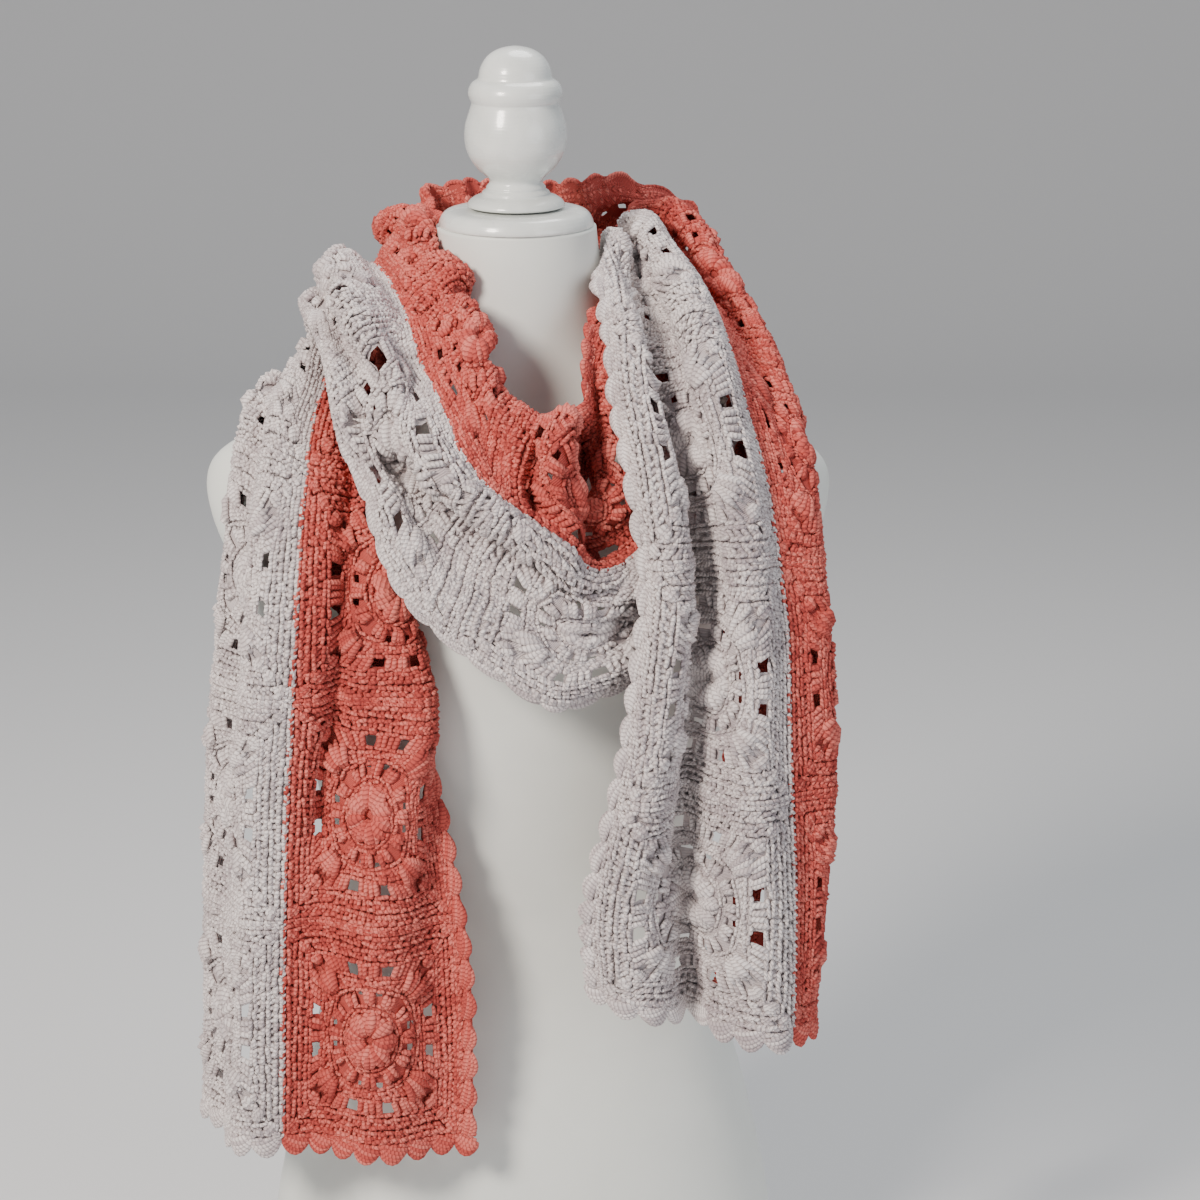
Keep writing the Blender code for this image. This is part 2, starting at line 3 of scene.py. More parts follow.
import bpy
import numpy as np
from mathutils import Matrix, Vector


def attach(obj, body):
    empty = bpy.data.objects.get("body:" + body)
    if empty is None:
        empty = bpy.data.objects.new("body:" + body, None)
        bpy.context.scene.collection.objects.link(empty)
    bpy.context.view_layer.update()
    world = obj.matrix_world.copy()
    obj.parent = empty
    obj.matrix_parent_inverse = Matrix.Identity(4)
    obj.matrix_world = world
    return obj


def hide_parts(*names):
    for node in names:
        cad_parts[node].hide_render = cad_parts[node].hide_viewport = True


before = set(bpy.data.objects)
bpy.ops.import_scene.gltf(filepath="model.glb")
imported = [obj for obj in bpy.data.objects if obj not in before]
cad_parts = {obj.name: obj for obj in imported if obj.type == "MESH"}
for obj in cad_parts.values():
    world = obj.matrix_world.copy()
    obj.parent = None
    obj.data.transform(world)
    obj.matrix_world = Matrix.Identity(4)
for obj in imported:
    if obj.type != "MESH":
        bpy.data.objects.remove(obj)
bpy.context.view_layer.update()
chance = np.random.default_rng(7)

# The cloth, in millimetres: the same strip as the solids, read much finer

cloth = {
    "column": 135.0, "border": 13.0, "halfWidth": 148.0, "rows": 16,
    "fine": 121, "halfSteps": 74, "softenings": 60, "pleatRadius": 12.0,
    "formClear": 6.0, "climb": 4.0, "layerGap": 10.0, "foldOpen": 0.7,
    "easings": 60, "evenings": 2, "fineRows": 600, "rowStep": 14.0, "columnStep": 8.0,
    "step": 2.0, "reach": 3,
}

# stretch, x y z of the middle seam, where the cloth faces (turn, rise), share of the cut width,
# then the pale edge, the pale bow, the coral edge and the coral bow
sections = [
    ("tail_left", -144, -122, 168, 0, 0, 0.93, -38, 92, 0, -22, -20, 0, 121, -2, 0, 0, -4, 0),
    ("tail_left", -141, -122, 259, 0, 0, 0.92, -38, 92, 0, -22, -20, 0, 118, 0, 0, 0, -4, 0),
    ("tail_left", -139, -122, 317, 0, 0, 0.92, -38, 92, 0, -22, -20, 0, 110, 6, 0, 6, -6, 0),
    ("tail_left", -135, -122, 386, 0, 0, 0.92, -38, 90, 0, -22, -20, 0, 88, 22, 0, 26, -10, 0),
    ("tail_left", -131, -120, 448, 0, 0, 0.92, -36, 86, 0, -20, -20, 0, 52, 26, 0, 56, -8, 0),
    ("tail_left", -127, -116, 505, 0, 10, 0.9, -34, 82, 0, -18, -18, 2, 10, 28, 0, 64, -6, 0),
    ("tail_left", -124, -102, 558, 0, 30, 0.8, -34, 72, -6, -16, -16, 10, -8, 28, -6, 54, -6, 4),
    ("tail_left", -119, -72, 604, 0, 50, 0.7, -30, 62, -20, -14, -10, 14, -2, 24, -18, 42, -4, 10),
    ("back_under", -110, -26, 628, 340, 70, 0.7, -36, 44, -44, -10, -4, 12, 22, 16, -22, 30, -4, 14),
    ("back_under", -94, 30, 634, 250, 50, 0.7, -34, 26, -78, -10, 8, 10, 32, -6, 24, 2, -4, 14),
    ("back_under", -56, 74, 612, 205, 25, 0.8, -12, 26, -102, -4, 10, 0, 14, -8, 74, 0, 0, 0),
    ("back_under", 0, 88, 602, 180, 15, 0.85, 0, 16, -108, 0, 10, 0, 0, -22, 98, 0, 0, 0),
    ("back_under", 50, 78, 608, 150, 25, 0.8, 14, 24, -98, 4, 10, 0, -10, -14, 82, 0, 0, 0),
    ("loop", 86, 34, 622, 110, 50, 0.72, 36, 30, -58, 10, 6, 10, -34, -8, 42, 0, 0, 0),
    ("loop", 102, -20, 612, 50, 60, 0.68, 40, 0, -34, 10, -6, 8, -52, -10, 58, 0, 0, 0),
    ("loop", 102, -74, 584, 20, 35, 0.64, 10, 6, -64, 4, -2, 6, -62, -2, 68, 0, 0, 0),
    ("loop", 86, -110, 548, 0, 20, 0.75, -6, -8, -76, 4, -8, 0, -46, 14, 74, 0, 0, 0),
    ("loop", 55, -138, 530, 0, 15, 0.9, -16, -2, -76, 0, -6, 0, -22, 40, 70, 0, 0, 0),
    ("loop", 26, -148, 546, 0, 15, 0.9, -14, 4, -90, 0, -6, 0, -4, 56, 46, 0, -6, 34),
    ("loop", -17, -138, 588, 0, 15, 0.88, -34, -6, -84, -4, -6, 0, 12, 46, 24, 6, 0, 20),
    ("loop", -42, -108, 624, 0, 20, 0.8, -32, -28, -80, -6, -6, 0, 18, 36, -6, 12, -4, 30),
    ("loop", -65, -54, 664, 340, 40, 0.74, -35, -36, -46, -14, -10, 10, 14, 22, -20, 24, -4, 30),
    ("back_over", -85, 10, 684, 290, 40, 0.72, -24, 6, -34, -26, -6, 2, 20, 6, -16, 18, -4, 28),
    ("back_over", -88, 40, 679, 260, 35, 0.72, -30, 14, -60, -16, 2, 4, 36, -6, 12, 0, -2, 14),
    ("back_over", -84, 68, 668, 235, 20, 0.76, -34, 24, -84, -10, 6, 6, 24, -8, 42, -2, -4, 0),
    ("back_over", -50, 108, 634, 205, 12, 0.88, -12, 20, -104, -4, 10, 10, 18, -24, 88, 0, 0, 0),
    ("back_over", 0, 120, 620, 180, 10, 0.92, 0, 10, -112, 0, 10, 10, 0, -36, 102, 0, 0, 0),
    ("back_over", 44, 110, 644, 150, 20, 0.82, 4, 2, -70, 6, 10, 0, -10, -24, 76, 8, 12, 0),
    ("back_over", 60, 88, 674, 140, 35, 0.62, 4, -4, -58, 0, 4, 0, 26, 20, 28, 0, 0, 2),
    ("tail_right", 70, 64, 694, 110, 60, 0.6, 0, -13, -42, 0, 0, 0, 38, 12, -6, 2, 2, 8),
    ("tail_right", 80, 38, 696, 80, 70, 0.6, -25, -13, -18, 0, 0, 4, 34, 8, -19, 9, 4, 4),
    ("tail_right", 89, 12, 688, 0, 80, 0.66, -38, -8, 0, 0, 0, 0, 24, 0, -30, 17, 2, 0),
    ("tail_right", 102, -12, 678, 0, 75, 0.68, -52, -8, 0, 0, 0, 0, 14, 2, -36, 22, 0, -2),
    ("tail_right", 114, -38, 664, 0, 65, 0.7, -60, -8, 0, 0, 0, 0, 12, 6, -36, 22, 2, -2),
    ("tail_right", 123, -70, 646, 0, 50, 0.72, -64, -4, 0, 0, 0, 0, 8, 16, -34, 24, 4, -4),
    ("tail_right", 133, -100, 618, 0, 35, 0.76, -70, -4, 0, 0, 0, 0, 0, 34, -24, 30, 4, -6),
    ("tail_right", 142, -128, 580, 0, 20, 0.8, -71, -8, 0, 0, 0, 0, -8, 46, -6, 38, 0, -4),
    ("tail_right", 149, -144, 526, 0, 5, 0.9, -70, -4, 0, 0, 0, 0, -26, 54, 0, 44, 0, 0),
    ("tail_right", 155, -150, 469, 0, 0, 0.92, -86, -4, 0, 0, 0, 0, -34, 54, 0, 50, 0, 0),
    ("tail_right", 159, -150, 400, 0, 0, 0.93, -104, -4, 0, 0, 0, 0, -36, 54, 0, 47, 0, 0),
    ("tail_right", 163, -148, 330, 0, 0, 0.96, -124, 0, 0, 0, 0, 0, -42, 54, 0, 38, 0, 0),
    ("tail_right", 164, -146, 252, 0, 0, 0.94, -122, 2, 30, 0, 0, -8, -44, 54, 8, 28, 0, 0),
]

# the form: z, half width, front, back
torsoRings = np.array([
    (0, 165, 106, 100), (70, 160, 106, 104), (140, 146, 98, 94), (215, 127, 84, 80),
    (280, 120, 80, 72), (350, 126, 86, 70), (420, 146, 94, 72), (480, 168, 94, 76),
    (530, 188, 84, 76), (562, 188, 70, 66), (582, 162, 58, 56), (602, 116, 50, 52),
    (625, 74, 47, 52), (650, 56, 46, 50), (690, 50, 46, 48), (708, 48, 45, 46),
], dtype=float)
torsoZ, torsoWide, torsoFront, torsoBack = torsoRings.T


def smoothRow(table, at):
    # rows read at fractional places, on a curve through every row
    last = len(table) - 1
    first = np.clip(np.floor(at).astype(int), 0, last - 1)
    f = (at - first)[:, None]
    before, here, there, after = (table[np.clip(first + k, 0, last)] for k in (-1, 0, 1, 2))
    before = np.where((first == 0)[:, None], 2 * here - there, before)
    after = np.where((first == last - 1)[:, None], 2 * there - here, after)
    leave, arrive = (there - before) / 2, (after - here) / 2
    return (
        (2 * f**3 - 3 * f**2 + 1) * here + (f**3 - 2 * f**2 + f) * leave
        + (3 * f**2 - 2 * f**3) * there + (f**3 - f**2) * arrive
    )


def unit(vectors):
    return vectors / (np.linalg.norm(vectors, axis=-1, keepdims=True) + 1e-12)


def lengths(points):
    steps = np.linalg.norm(np.diff(points, axis=1), axis=2)
    return np.concatenate([np.zeros((len(points), 1)), np.cumsum(steps, axis=1)], axis=1)


def halfSection(edge, bend, out, width, firstFold):
    # from the seam to an edge: a bowed line, pleated in three until it is as long as the cloth
    s = np.linspace(0.0, 1.0, cloth["fine"])
    line = edge[:, None] * s[None, :, None] + bend[:, None] * (np.sin(pi * s) ** 0.8)[None, :, None]
    toward = unit(edge)
    sideways = unit(out - (out * toward).sum(axis=1, keepdims=True) * toward)
    pleats = firstFold * np.sin(3 * pi * s)[None, :, None] * sideways[:, None]
    least, most = np.zeros(len(edge)), (lengths(line)[:, -1] / (3 * pi)) ** 2 / cloth["pleatRadius"]
    for _ in range(18):
        depth = (least + most) / 2
        short = lengths(line + depth[:, None, None] * pleats)[:, -1] < width
        least, most = np.where(short, depth, least), np.where(short, most, depth)
    points = line + least[:, None, None] * pleats
    run = lengths(points)
    even = np.linspace(0, 1, cloth["halfSteps"] + 1)
    return np.array(
        [[np.interp(even * r[-1], r, p[:, axis]) for axis in range(3)] for p, r in zip(points, run)]
    ).transpose(0, 2, 1)


def softened(points):
    for _ in range(cloth["softenings"]):
        middle = (points[:, :-2] + 2 * points[:, 1:-1] + points[:, 2:]) / 4
        points = np.concatenate([points[:, :1], middle, points[:, -1:]], axis=1)
    return points


def clearOfForm(points):
    # moved straight out of the torso until the cloth clears it
    for _ in range(3):
        x, y, z = points[..., 0], points[..., 1], points[..., 2]
        wide, front, back = (np.interp(z, torsoZ, half) for half in (torsoWide, torsoFront, torsoBack))
        deep = np.where(y < 0, front, back)
        ring = np.hypot(x / wide, y / deep) + 1e-6
        wideOn, frontOn, backOn = (
            np.interp(z + cloth["climb"], torsoZ, half) for half in (torsoWide, torsoFront, torsoBack)
        )
        ringOn = np.hypot(x / wideOn, y / np.where(y < 0, frontOn, backOn))
        slope = np.stack([x / wide**2 / ring, y / deep**2 / ring, (ringOn - ring) / cloth["climb"]], axis=-1)
        steep = np.linalg.norm(slope, axis=-1)
        short = np.maximum(0.0, cloth["formClear"] - (ring - 1) / steep)
        points = points + slope / steep[..., None] * short[..., None]
    return points


sectionRows = np.array([row[1:] for row in sections], dtype=float)


def drawnCloth(at):
    rows = smoothRow(sectionRows, at)
    turn, rise = np.radians(rows[:, 3]), np.radians(rows[:, 4])
    out = np.stack([np.sin(turn) * np.cos(rise), -np.cos(turn) * np.cos(rise), np.sin(rise)], axis=1)
    width = rows[:, 5] * cloth["halfWidth"]
    pale = halfSection(rows[:, 6:9], rows[:, 9:12], out, width, 1)
    coral = halfSection(rows[:, 12:15], rows[:, 15:18], out, width, -1)
    return softened(np.concatenate([pale[:, :0:-1], coral], axis=1)) + rows[:, None, :3]


def closePairs(points):
    square = (points**2).sum(axis=1)
    found = []
    for start in range(0, len(points), 512):
        some = slice(start, start + 512)
        near = square[some, None] + square[None] - 2 * points[some] @ points.T < cloth["layerGap"] ** 2
        first, second = np.nonzero(near)
        later = second > first + start
        found.append(np.stack([first[later] + start, second[later]]))
    return np.concatenate(found, axis=1)


def evened(values, passes):
    # a field on the cloth, smoothed both ways
    for _ in range(passes):
        for axis in (0, 1):
            ends = [(1, 1) if k == axis else (0, 0) for k in range(3)]
            wider = np.moveaxis(np.pad(values, ends, mode="edge"), axis, 0)
            values = np.moveaxis((wider[:-2] + 2 * wider[1:-1] + wider[2:]) / 4, 0, axis)
    return values


def keptApart(grid):
    # layers and folds eased apart until one wall clears the next
    wide = grid.shape[1]
    for _ in range(cloth["easings"]):
        points = grid.reshape(-1, 3)
        first, second = closePairs(points)
        gap = points[second] - points[first]
        apart = np.linalg.norm(gap, axis=1)
        along, across = second // wide - first // wide, second % wide - first % wide
        between = np.hypot(along * cloth["rowStep"], across * cloth["columnStep"])
        short = np.maximum(0.0, np.minimum(cloth["layerGap"], cloth["foldOpen"] * between) - apart)
        push = gap / apart[:, None] * short[:, None]
        move, count = np.zeros_like(points), np.full(len(points), 1e-6)
        for ends, way in ((first, -1), (second, 1)):
            np.add.at(move, ends, way * push)
            np.add.at(count, ends, short > 0)
        grid = grid + evened((move / count[:, None]).reshape(grid.shape), cloth["evenings"])
        grid = clearOfForm(grid)
    return grid


def easedCloth():
    at = np.linspace(0, len(sections) - 1, cloth["fineRows"])
    half = cloth["halfSteps"] // 2
    run = lengths(drawnCloth(at)[:, half::half].transpose(1, 0, 2))[:3].mean(axis=0)
    even = np.linspace(0, run[-1], round(run[-1] / cloth["rowStep"]) + 1)
    every = round(cloth["columnStep"] / cloth["halfWidth"] * cloth["halfSteps"])
    grid = keptApart(drawnCloth(np.interp(even, run, at))[:, ::every])
    return grid, np.interp(even, run, at)


coarse, tablePlace = easedCloth()
clothRun = lengths(coarse[:, 1:-1].transpose(1, 0, 2)).mean(axis=0)
clothLength = clothRun[-1]
pitch = clothLength / cloth["rows"]
print("cloth eased,", round(clothLength), "mm long")


def strip(along, across):
    rows = smoothRow(coarse.reshape(len(coarse), -1), np.interp(along, clothRun, np.arange(len(coarse))))
    columns = rows.reshape(len(rows), -1, 3).transpose(1, 0, 2)
    place = (np.asarray(across) / cloth["halfWidth"] + 1) * (len(columns) - 1) / 2
    points = smoothRow(columns.reshape(len(columns), -1), place)
    return points.reshape(len(place), -1, 3).transpose(1, 0, 2)


# the strip as arrays, one point every step both ways, with its normals and how spread out it is
acrossSteps = round(2 * cloth["halfWidth"] / cloth["step"])
alongSteps = round(clothLength / cloth["step"])
alongStep = clothLength / alongSteps
alongLines = np.linspace(0, clothLength, alongSteps + 1)
acrossLines = np.linspace(-cloth["halfWidth"], cloth["halfWidth"], acrossSteps + 1)
stripPoints = strip(alongLines, acrossLines)

# soft creases, listed as lines on the strip: along, across; then depth to the side that shows
# (below zero a valley) and half width. The front ones follow the scarf's own folds.
creases = [
    ([(1770, -112), (1840, -95), (1906, -78), (2100, -79), (2245, -70)], -19.0, 10.0),
    ([(1790, -30), (2000, -32), (2120, -27), (2245, -12)], 6.0, 17.0),
    ([(1790, -136), (1900, -120), (2080, -118), (2245, -113)], 5.0, 15.0),
    ([(2180, -100), (2245, -96)], 4.0, 12.0),
    ([(1225, -98), (1190, -81), (1166, -57), (1130, -47), (1106, -37), (1040, -26)], -22.0, 8.0),
    ([(1284, -57), (1212, -46), (1146, -22), (1074, -8)], 11.0, 9.0),
    ([(1184, -112), (1142, -103), (1084, -97), (1046, -84)], 4.0, 13.0),
    ([(1142, 92), (1118, 80), (1100, 68), (1094, 20)], -12.0, 7.0),
    ([(1086, 110), (1078, 75), (1068, 30)], 11.0, 8.0),
    ([(1012, 147), (1034, 115), (1044, 70), (1046, 22)], -14.0, 7.5),
    ([(882, 147), (960, 112), (1002, 87), (1018, 50)], 8.0, 9.0),
    ([(480, 22), (416, 38), (322, 30), (200, 27)], -11.0, 9.0),
    ([(200, -42), (110, -40), (30, -52)], -4.0, 10.0),
    ([(480, -96), (400, -88), (330, -96)], 4.0, 11.0),
    ([(1460, -60), (1520, -70), (1600, -58)], -4.0, 12.0), ([(620, -70), (700, -84), (780, -70)], 4.0, 14.0),
]
# gathers where the neck edge is drawn in: place on the edge, place and width at the inner end,
# depth, half width
gathers = [
    (548, 596, 60, -5.2, 7.5), (590, 618, 88, 5.2, 7.0), (622, 640, 44, -6.5, 6.5),
    (655, 661, 92, 5.9, 6.0), (684, 690, 36, -6.5, 6.0), (716, 712, 80, 5.9, 6.5),
    (744, 750, 52, -6.5, 6.0), (772, 768, 96, 5.9, 6.0), (799, 792, 40, -6.5, 6.5),
    (830, 834, 84, 5.9, 6.0), (858, 852, 60, -5.9, 6.0), (884, 890, 100, 5.2, 7.0),
    (1176, 1168, 70, -6.5, 6.5), (1206, 1200, 100, 5.9, 6.0), (1234, 1240, 56, -7.2, 6.0),
    (1268, 1262, 92, 6.5, 6.5), (1296, 1290, 40, -7.8, 6.0), (1326, 1332, 84, 6.5, 6.0),
    (1354, 1350, 60, -7.2, 6.0), (1387, 1394, 98, 5.9, 6.5), (1414, 1410, 44, -7.2, 6.0),
    (1446, 1452, 76, 6.5, 6.0), (1472, 1468, 52, -7.2, 6.5), (1503, 1500, 94, 6.5, 6.0),
    (1530, 1538, 40, -7.2, 6.0), (1562, 1556, 86, 6.5, 6.0), (1590, 1596, 56, -6.5, 6.0),
    (1620, 1616, 92, 5.9, 6.5), (1648, 1654, 64, -5.9, 6.0), (1678, 1672, 100, 5.2, 7.0),
]
creases += [([(edge, 147), (end, inner)], depth, half) for edge, end, inner, depth, half in gathers]


def creaseRise(along, across):
    # each crease falls off as a bell with the distance to its line
    rise = np.zeros(along.shape)
    for line, depth, half in creases:
        line = np.array(line, dtype=float)
        nearest = np.full(along.shape, 1e9)
        for (a0, b0), (a1, b1) in zip(line[:-1], line[1:]):
            da, db = a1 - a0, b1 - b0
            t = np.clip(((along - a0) * da + (across - b0) * db) / (da * da + db * db), 0, 1)
            nearest = np.minimum(nearest, np.hypot(along - a0 - t * da, across - b0 - t * db))
        rise += depth * np.exp(-((nearest / half) ** 2))
    return rise


def waysOf(points):
    return [np.gradient(evened(points, cloth["reach"]), axis=axis) for axis in (0, 1)]


alongWay, acrossWay = waysOf(stripPoints)
lineAlong, lineAcross = np.meshgrid(alongLines, acrossLines, indexing="ij")
shownSide = 1 - 2 * np.clip((lineAlong - 12 * pitch) / 30 + 0.5, 0, 1)
outward = unit(evened(np.cross(acrossWay, alongWay), 6))
stripPoints = clearOfForm(stripPoints + outward * (shownSide * creaseRise(lineAlong, lineAcross))[..., None])
alongWay, acrossWay = waysOf(stripPoints)
stripNormals = unit(evened(unit(np.cross(acrossWay, alongWay)), 2))
stripSpread = np.clip(np.linalg.norm(acrossWay, axis=2) / cloth["step"], 0.35, 1.0)[..., None]
stripWays = np.gradient(stripPoints, axis=0) / alongStep


def onCloth(along, across, height):
    # points of the cloth moved out along its normals; bilinear between the strip's own points
    beyond = along - np.clip(along, 0, clothLength)
    i, j = (along - beyond) / alongStep, (across + cloth["halfWidth"]) / cloth["step"]
    i, j = np.clip(i, 0, alongSteps - 1e-6), np.clip(j, 0, acrossSteps - 1e-6)
    i0, j0 = i.astype(int), j.astype(int)
    f, g = (i - i0)[..., None], (j - j0)[..., None]

    def read(values):
        return ((values[i0, j0] * (1 - g) + values[i0, j0 + 1] * g) * (1 - f)
                + (values[i0 + 1, j0] * (1 - g) + values[i0 + 1, j0 + 1] * g) * f)

    normals = unit(read(stripNormals))
    spread = read(stripSpread)
    points = read(stripPoints) + read(stripWays) * beyond[..., None]
    return points + normals * spread * height[..., None], normals


def stretchOf(row):
    return sections[int(np.interp((row + 0.5) * pitch, clothRun, tablePlace))][0]


stretchNames = [stretchOf(row) for row in range(cloth["rows"])]
stretches = {
    name: (stretchNames.index(name), cloth["rows"] - stretchNames[::-1].index(name))
    for name in dict.fromkeys(stretchNames)
}


def newPiece(name, points, faces, look, floats=None, uv=None):
    # faces: arrays of equal-sided polygons, each n by 3 or n by 4
    mesh = bpy.data.meshes.new(name)
    points = np.asarray(points, dtype=np.float32).reshape(-1, 3)
    loops = np.concatenate([f.reshape(-1) for f in faces]).astype(np.int32)
    sizes = np.concatenate([np.full(len(f), f.shape[1]) for f in faces])
    mesh.vertices.add(len(points))
    mesh.vertices.foreach_set("co", (points / 1000).reshape(-1))
    mesh.loops.add(len(loops))
    mesh.loops.foreach_set("vertex_index", loops)
    mesh.polygons.add(len(sizes))
    mesh.polygons.foreach_set("loop_start", np.concatenate([[0], np.cumsum(sizes)[:-1]]).astype(np.int32))
    mesh.update(calc_edges=True)
    mesh.validate()
    mesh.shade_smooth()
    for title, values in (floats or {}).items():
        mesh.attributes.new(title, "FLOAT", "POINT").data.foreach_set("value", values.astype(np.float32))
    if uv is not None:
        layer = mesh.uv_layers.new(name="yarn")
        layer.data.foreach_set("uv", uv[loops].astype(np.float32).reshape(-1))
    piece = bpy.data.objects.new(name, mesh)
    bpy.context.scene.collection.objects.link(piece)
    mesh.materials.append(look)
    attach(piece, "root")
    return piece


class Strands:
    # lens-ended tubes of yarn, gathered until a piece is made of them
    def __init__(self):
        self.points, self.triangles, self.quads, self.uv, self.tone, self.count = [], [], [], [], [], 0

    def add(self, along, across, height, radius, sides=4):
        # along, across, height: n by m arrays of each strand's path; radius: m values or n by m
        centre, normals = onCloth(along, across, height)
        n, m = along.shape
        radius = np.broadcast_to(radius, (n, m))[:, 1:-1, None, None]
        tangent = unit(np.gradient(centre, axis=1))
        beside = unit(np.cross(tangent, normals))
        above = np.cross(beside, tangent)
        turn = 2 * pi * np.arange(sides) / sides
        rings = centre[:, 1:-1, None] + radius * (
            np.cos(turn)[None, None, :, None] * beside[:, 1:-1, None]
            + np.sin(turn)[None, None, :, None] * above[:, 1:-1, None]
        )
        inner = m - 2
        size = inner * sides + 2
        points = np.concatenate([centre[:, :1], rings.reshape(n, -1, 3), centre[:, -1:]], axis=1)
        k = np.arange(sides)
        after = (k + 1) % sides
        start = 1 + np.arange(inner - 1)[:, None] * sides
        quads = np.stack([start + k, start + after, start + sides + after, start + sides + k], axis=-1)
        last = 1 + (inner - 1) * sides
        caps = np.concatenate([
            np.stack([np.zeros(sides, int), 1 + after, 1 + k], axis=-1),
            np.stack([np.full(sides, size - 1), last + k, last + after], axis=-1),
        ])
        offset = self.count + np.arange(n)[:, None, None] * size
        self.points.append(points.reshape(-1, 3))
        self.quads.append((quads.reshape(-1, 4)[None] + offset).reshape(-1, 4))
        self.triangles.append((caps[None] + offset).reshape(-1, 3))
        run = lengths(centre)
        around = np.concatenate([[0.0], np.tile(turn / (2 * pi), inner), [0.0]])
        length = np.concatenate([run[:, :1], np.repeat(run[:, 1:-1], sides, axis=1), run[:, -1:]], axis=1)
        self.uv.append(np.stack([length, np.broadcast_to(around, length.shape)], axis=-1).reshape(-1, 2))
        self.tone.append(np.repeat(chance.random(n), size))
        self.count += n * size

    def piece(self, name, look, slot):
        quads = [np.concatenate(self.quads)] if self.quads else []
        return newPiece(
            name, np.concatenate(self.points), quads + [np.concatenate(self.triangles)], look,
            {"tone": np.concatenate(self.tone)}, np.concatenate(self.uv),
        )


def linear(hexColour):
    # sRGB hex to linear: the usual curve
    parts = [int(hexColour[k:k + 2], 16) / 255 for k in (0, 2, 4)]
    return tuple(p / 12.92 if p <= 0.04045 else ((p + 0.055) / 1.055) ** 2.4 for p in parts) + (1.0,)


def node(tree, kind, settings=None, inputs=None, links=None):
    made = tree.nodes.new(kind)
    for key, value in (settings or {}).items():
        setattr(made, key, value)
    for key, value in (inputs or {}).items():
        made.inputs[key].default_value = value
    for key, source in (links or {}).items():
        tree.links.new(source, made.inputs[key])
    return made


def newMaterial(name):
    made = bpy.data.materials.new(name)
    made.use_nodes = True
    made.node_tree.nodes.clear()
    return made, made.node_tree


def woolYarn(name, light, mid, dark, paintedPlyShade):
    # worsted acrylic and wool yarn, plied and hooked into stitches: matt and soft, with plies that
    # wind along each strand, a halo of loose fibre that lifts its edges, and strands a shade apart
    made, tree = newMaterial(name)
    uv = node(tree, "ShaderNodeUVMap", {"uv_map": "yarn"})
    place = node(tree, "ShaderNodeTexCoord")
    split = node(tree, "ShaderNodeSeparateXYZ", links={"Vector": uv.outputs["UV"]})
    # a ply shows every 2.4 mm along a strand; a real one of 1.6 mm would blur away
    plies = node(tree, "ShaderNodeMath", {"operation": "MULTIPLY_ADD"}, {1: 1 / 2.4, 2: 0.0},
                 {0: split.outputs["X"]})
    wound = node(tree, "ShaderNodeMath", {"operation": "ADD"},
                 links={0: plies.outputs[0], 1: split.outputs["Y"]})
    turned = node(tree, "ShaderNodeMath", {"operation": "MULTIPLY"}, {1: 2 * pi}, {0: wound.outputs[0]})
    wave = node(tree, "ShaderNodeMath", {"operation": "SINE"}, links={0: turned.outputs[0]})
    tone = node(tree, "ShaderNodeAttribute", {"attribute_name": "tone"})
    fibre = node(tree, "ShaderNodeTexNoise", {"noise_dimensions": "3D"},
                 {"Scale": 900.0, "Detail": 3.0, "Roughness": 0.7}, {"Vector": place.outputs["Object"]})
    patches = node(tree, "ShaderNodeTexNoise", inputs={"Scale": 28.0, "Detail": 2.0},
                   links={"Vector": place.outputs["Object"]})
    mixed = node(tree, "ShaderNodeMath", {"operation": "MULTIPLY_ADD"}, {1: 0.55}, {0: tone.outputs["Fac"]})
    tree.links.new(patches.outputs["Fac"], mixed.inputs[2])
    ramp = node(tree, "ShaderNodeValToRGB", links={"Fac": mixed.outputs[0]})
    ramp.color_ramp.elements[0].position, ramp.color_ramp.elements[0].color = 0.3, linear(dark)
    ramp.color_ramp.elements[1].position, ramp.color_ramp.elements[1].color = 1.0, linear(light)
    middle = ramp.color_ramp.elements.new(0.68)
    middle.color = linear(mid)
    # painted shade: the crevices between plies are coloured darker, as if shade fell in them
    paintedPlyShadeMask = node(tree, "ShaderNodeMapRange",
                  inputs={"From Min": -1.0, "From Max": -0.2, "To Min": 0.6, "To Max": 0.0},
                  links={"Value": wave.outputs[0]})
    colour = node(tree, "ShaderNodeMix", {"data_type": "RGBA"})
    tree.links.new(paintedPlyShadeMask.outputs["Result"], colour.inputs["Factor"])
    tree.links.new(ramp.outputs["Color"], colour.inputs["A"])
    colour.inputs["B"].default_value = linear(paintedPlyShade)
    relief = node(tree, "ShaderNodeMath", {"operation": "MULTIPLY_ADD"}, {1: 0.45}, {0: wave.outputs[0]})
    tree.links.new(fibre.outputs["Fac"], relief.inputs[2])
    bump = node(tree, "ShaderNodeBump", inputs={"Strength": 0.55, "Distance": 0.0006},
                links={"Height": relief.outputs[0]})
    shader = node(tree, "ShaderNodeBsdfPrincipled", inputs={
        "Roughness": 0.92, "IOR": 1.5, "Specular IOR Level": 0.25, "Sheen Weight": 0.35, "Sheen Roughness": 0.6,
    }, links={"Base Color": colour.outputs["Result"], "Normal": bump.outputs["Normal"]})
    shader.inputs["Sheen Tint"].default_value = linear(light)
    node(tree, "ShaderNodeOutputMaterial", links={"Surface": shader.outputs["BSDF"]})
    return made


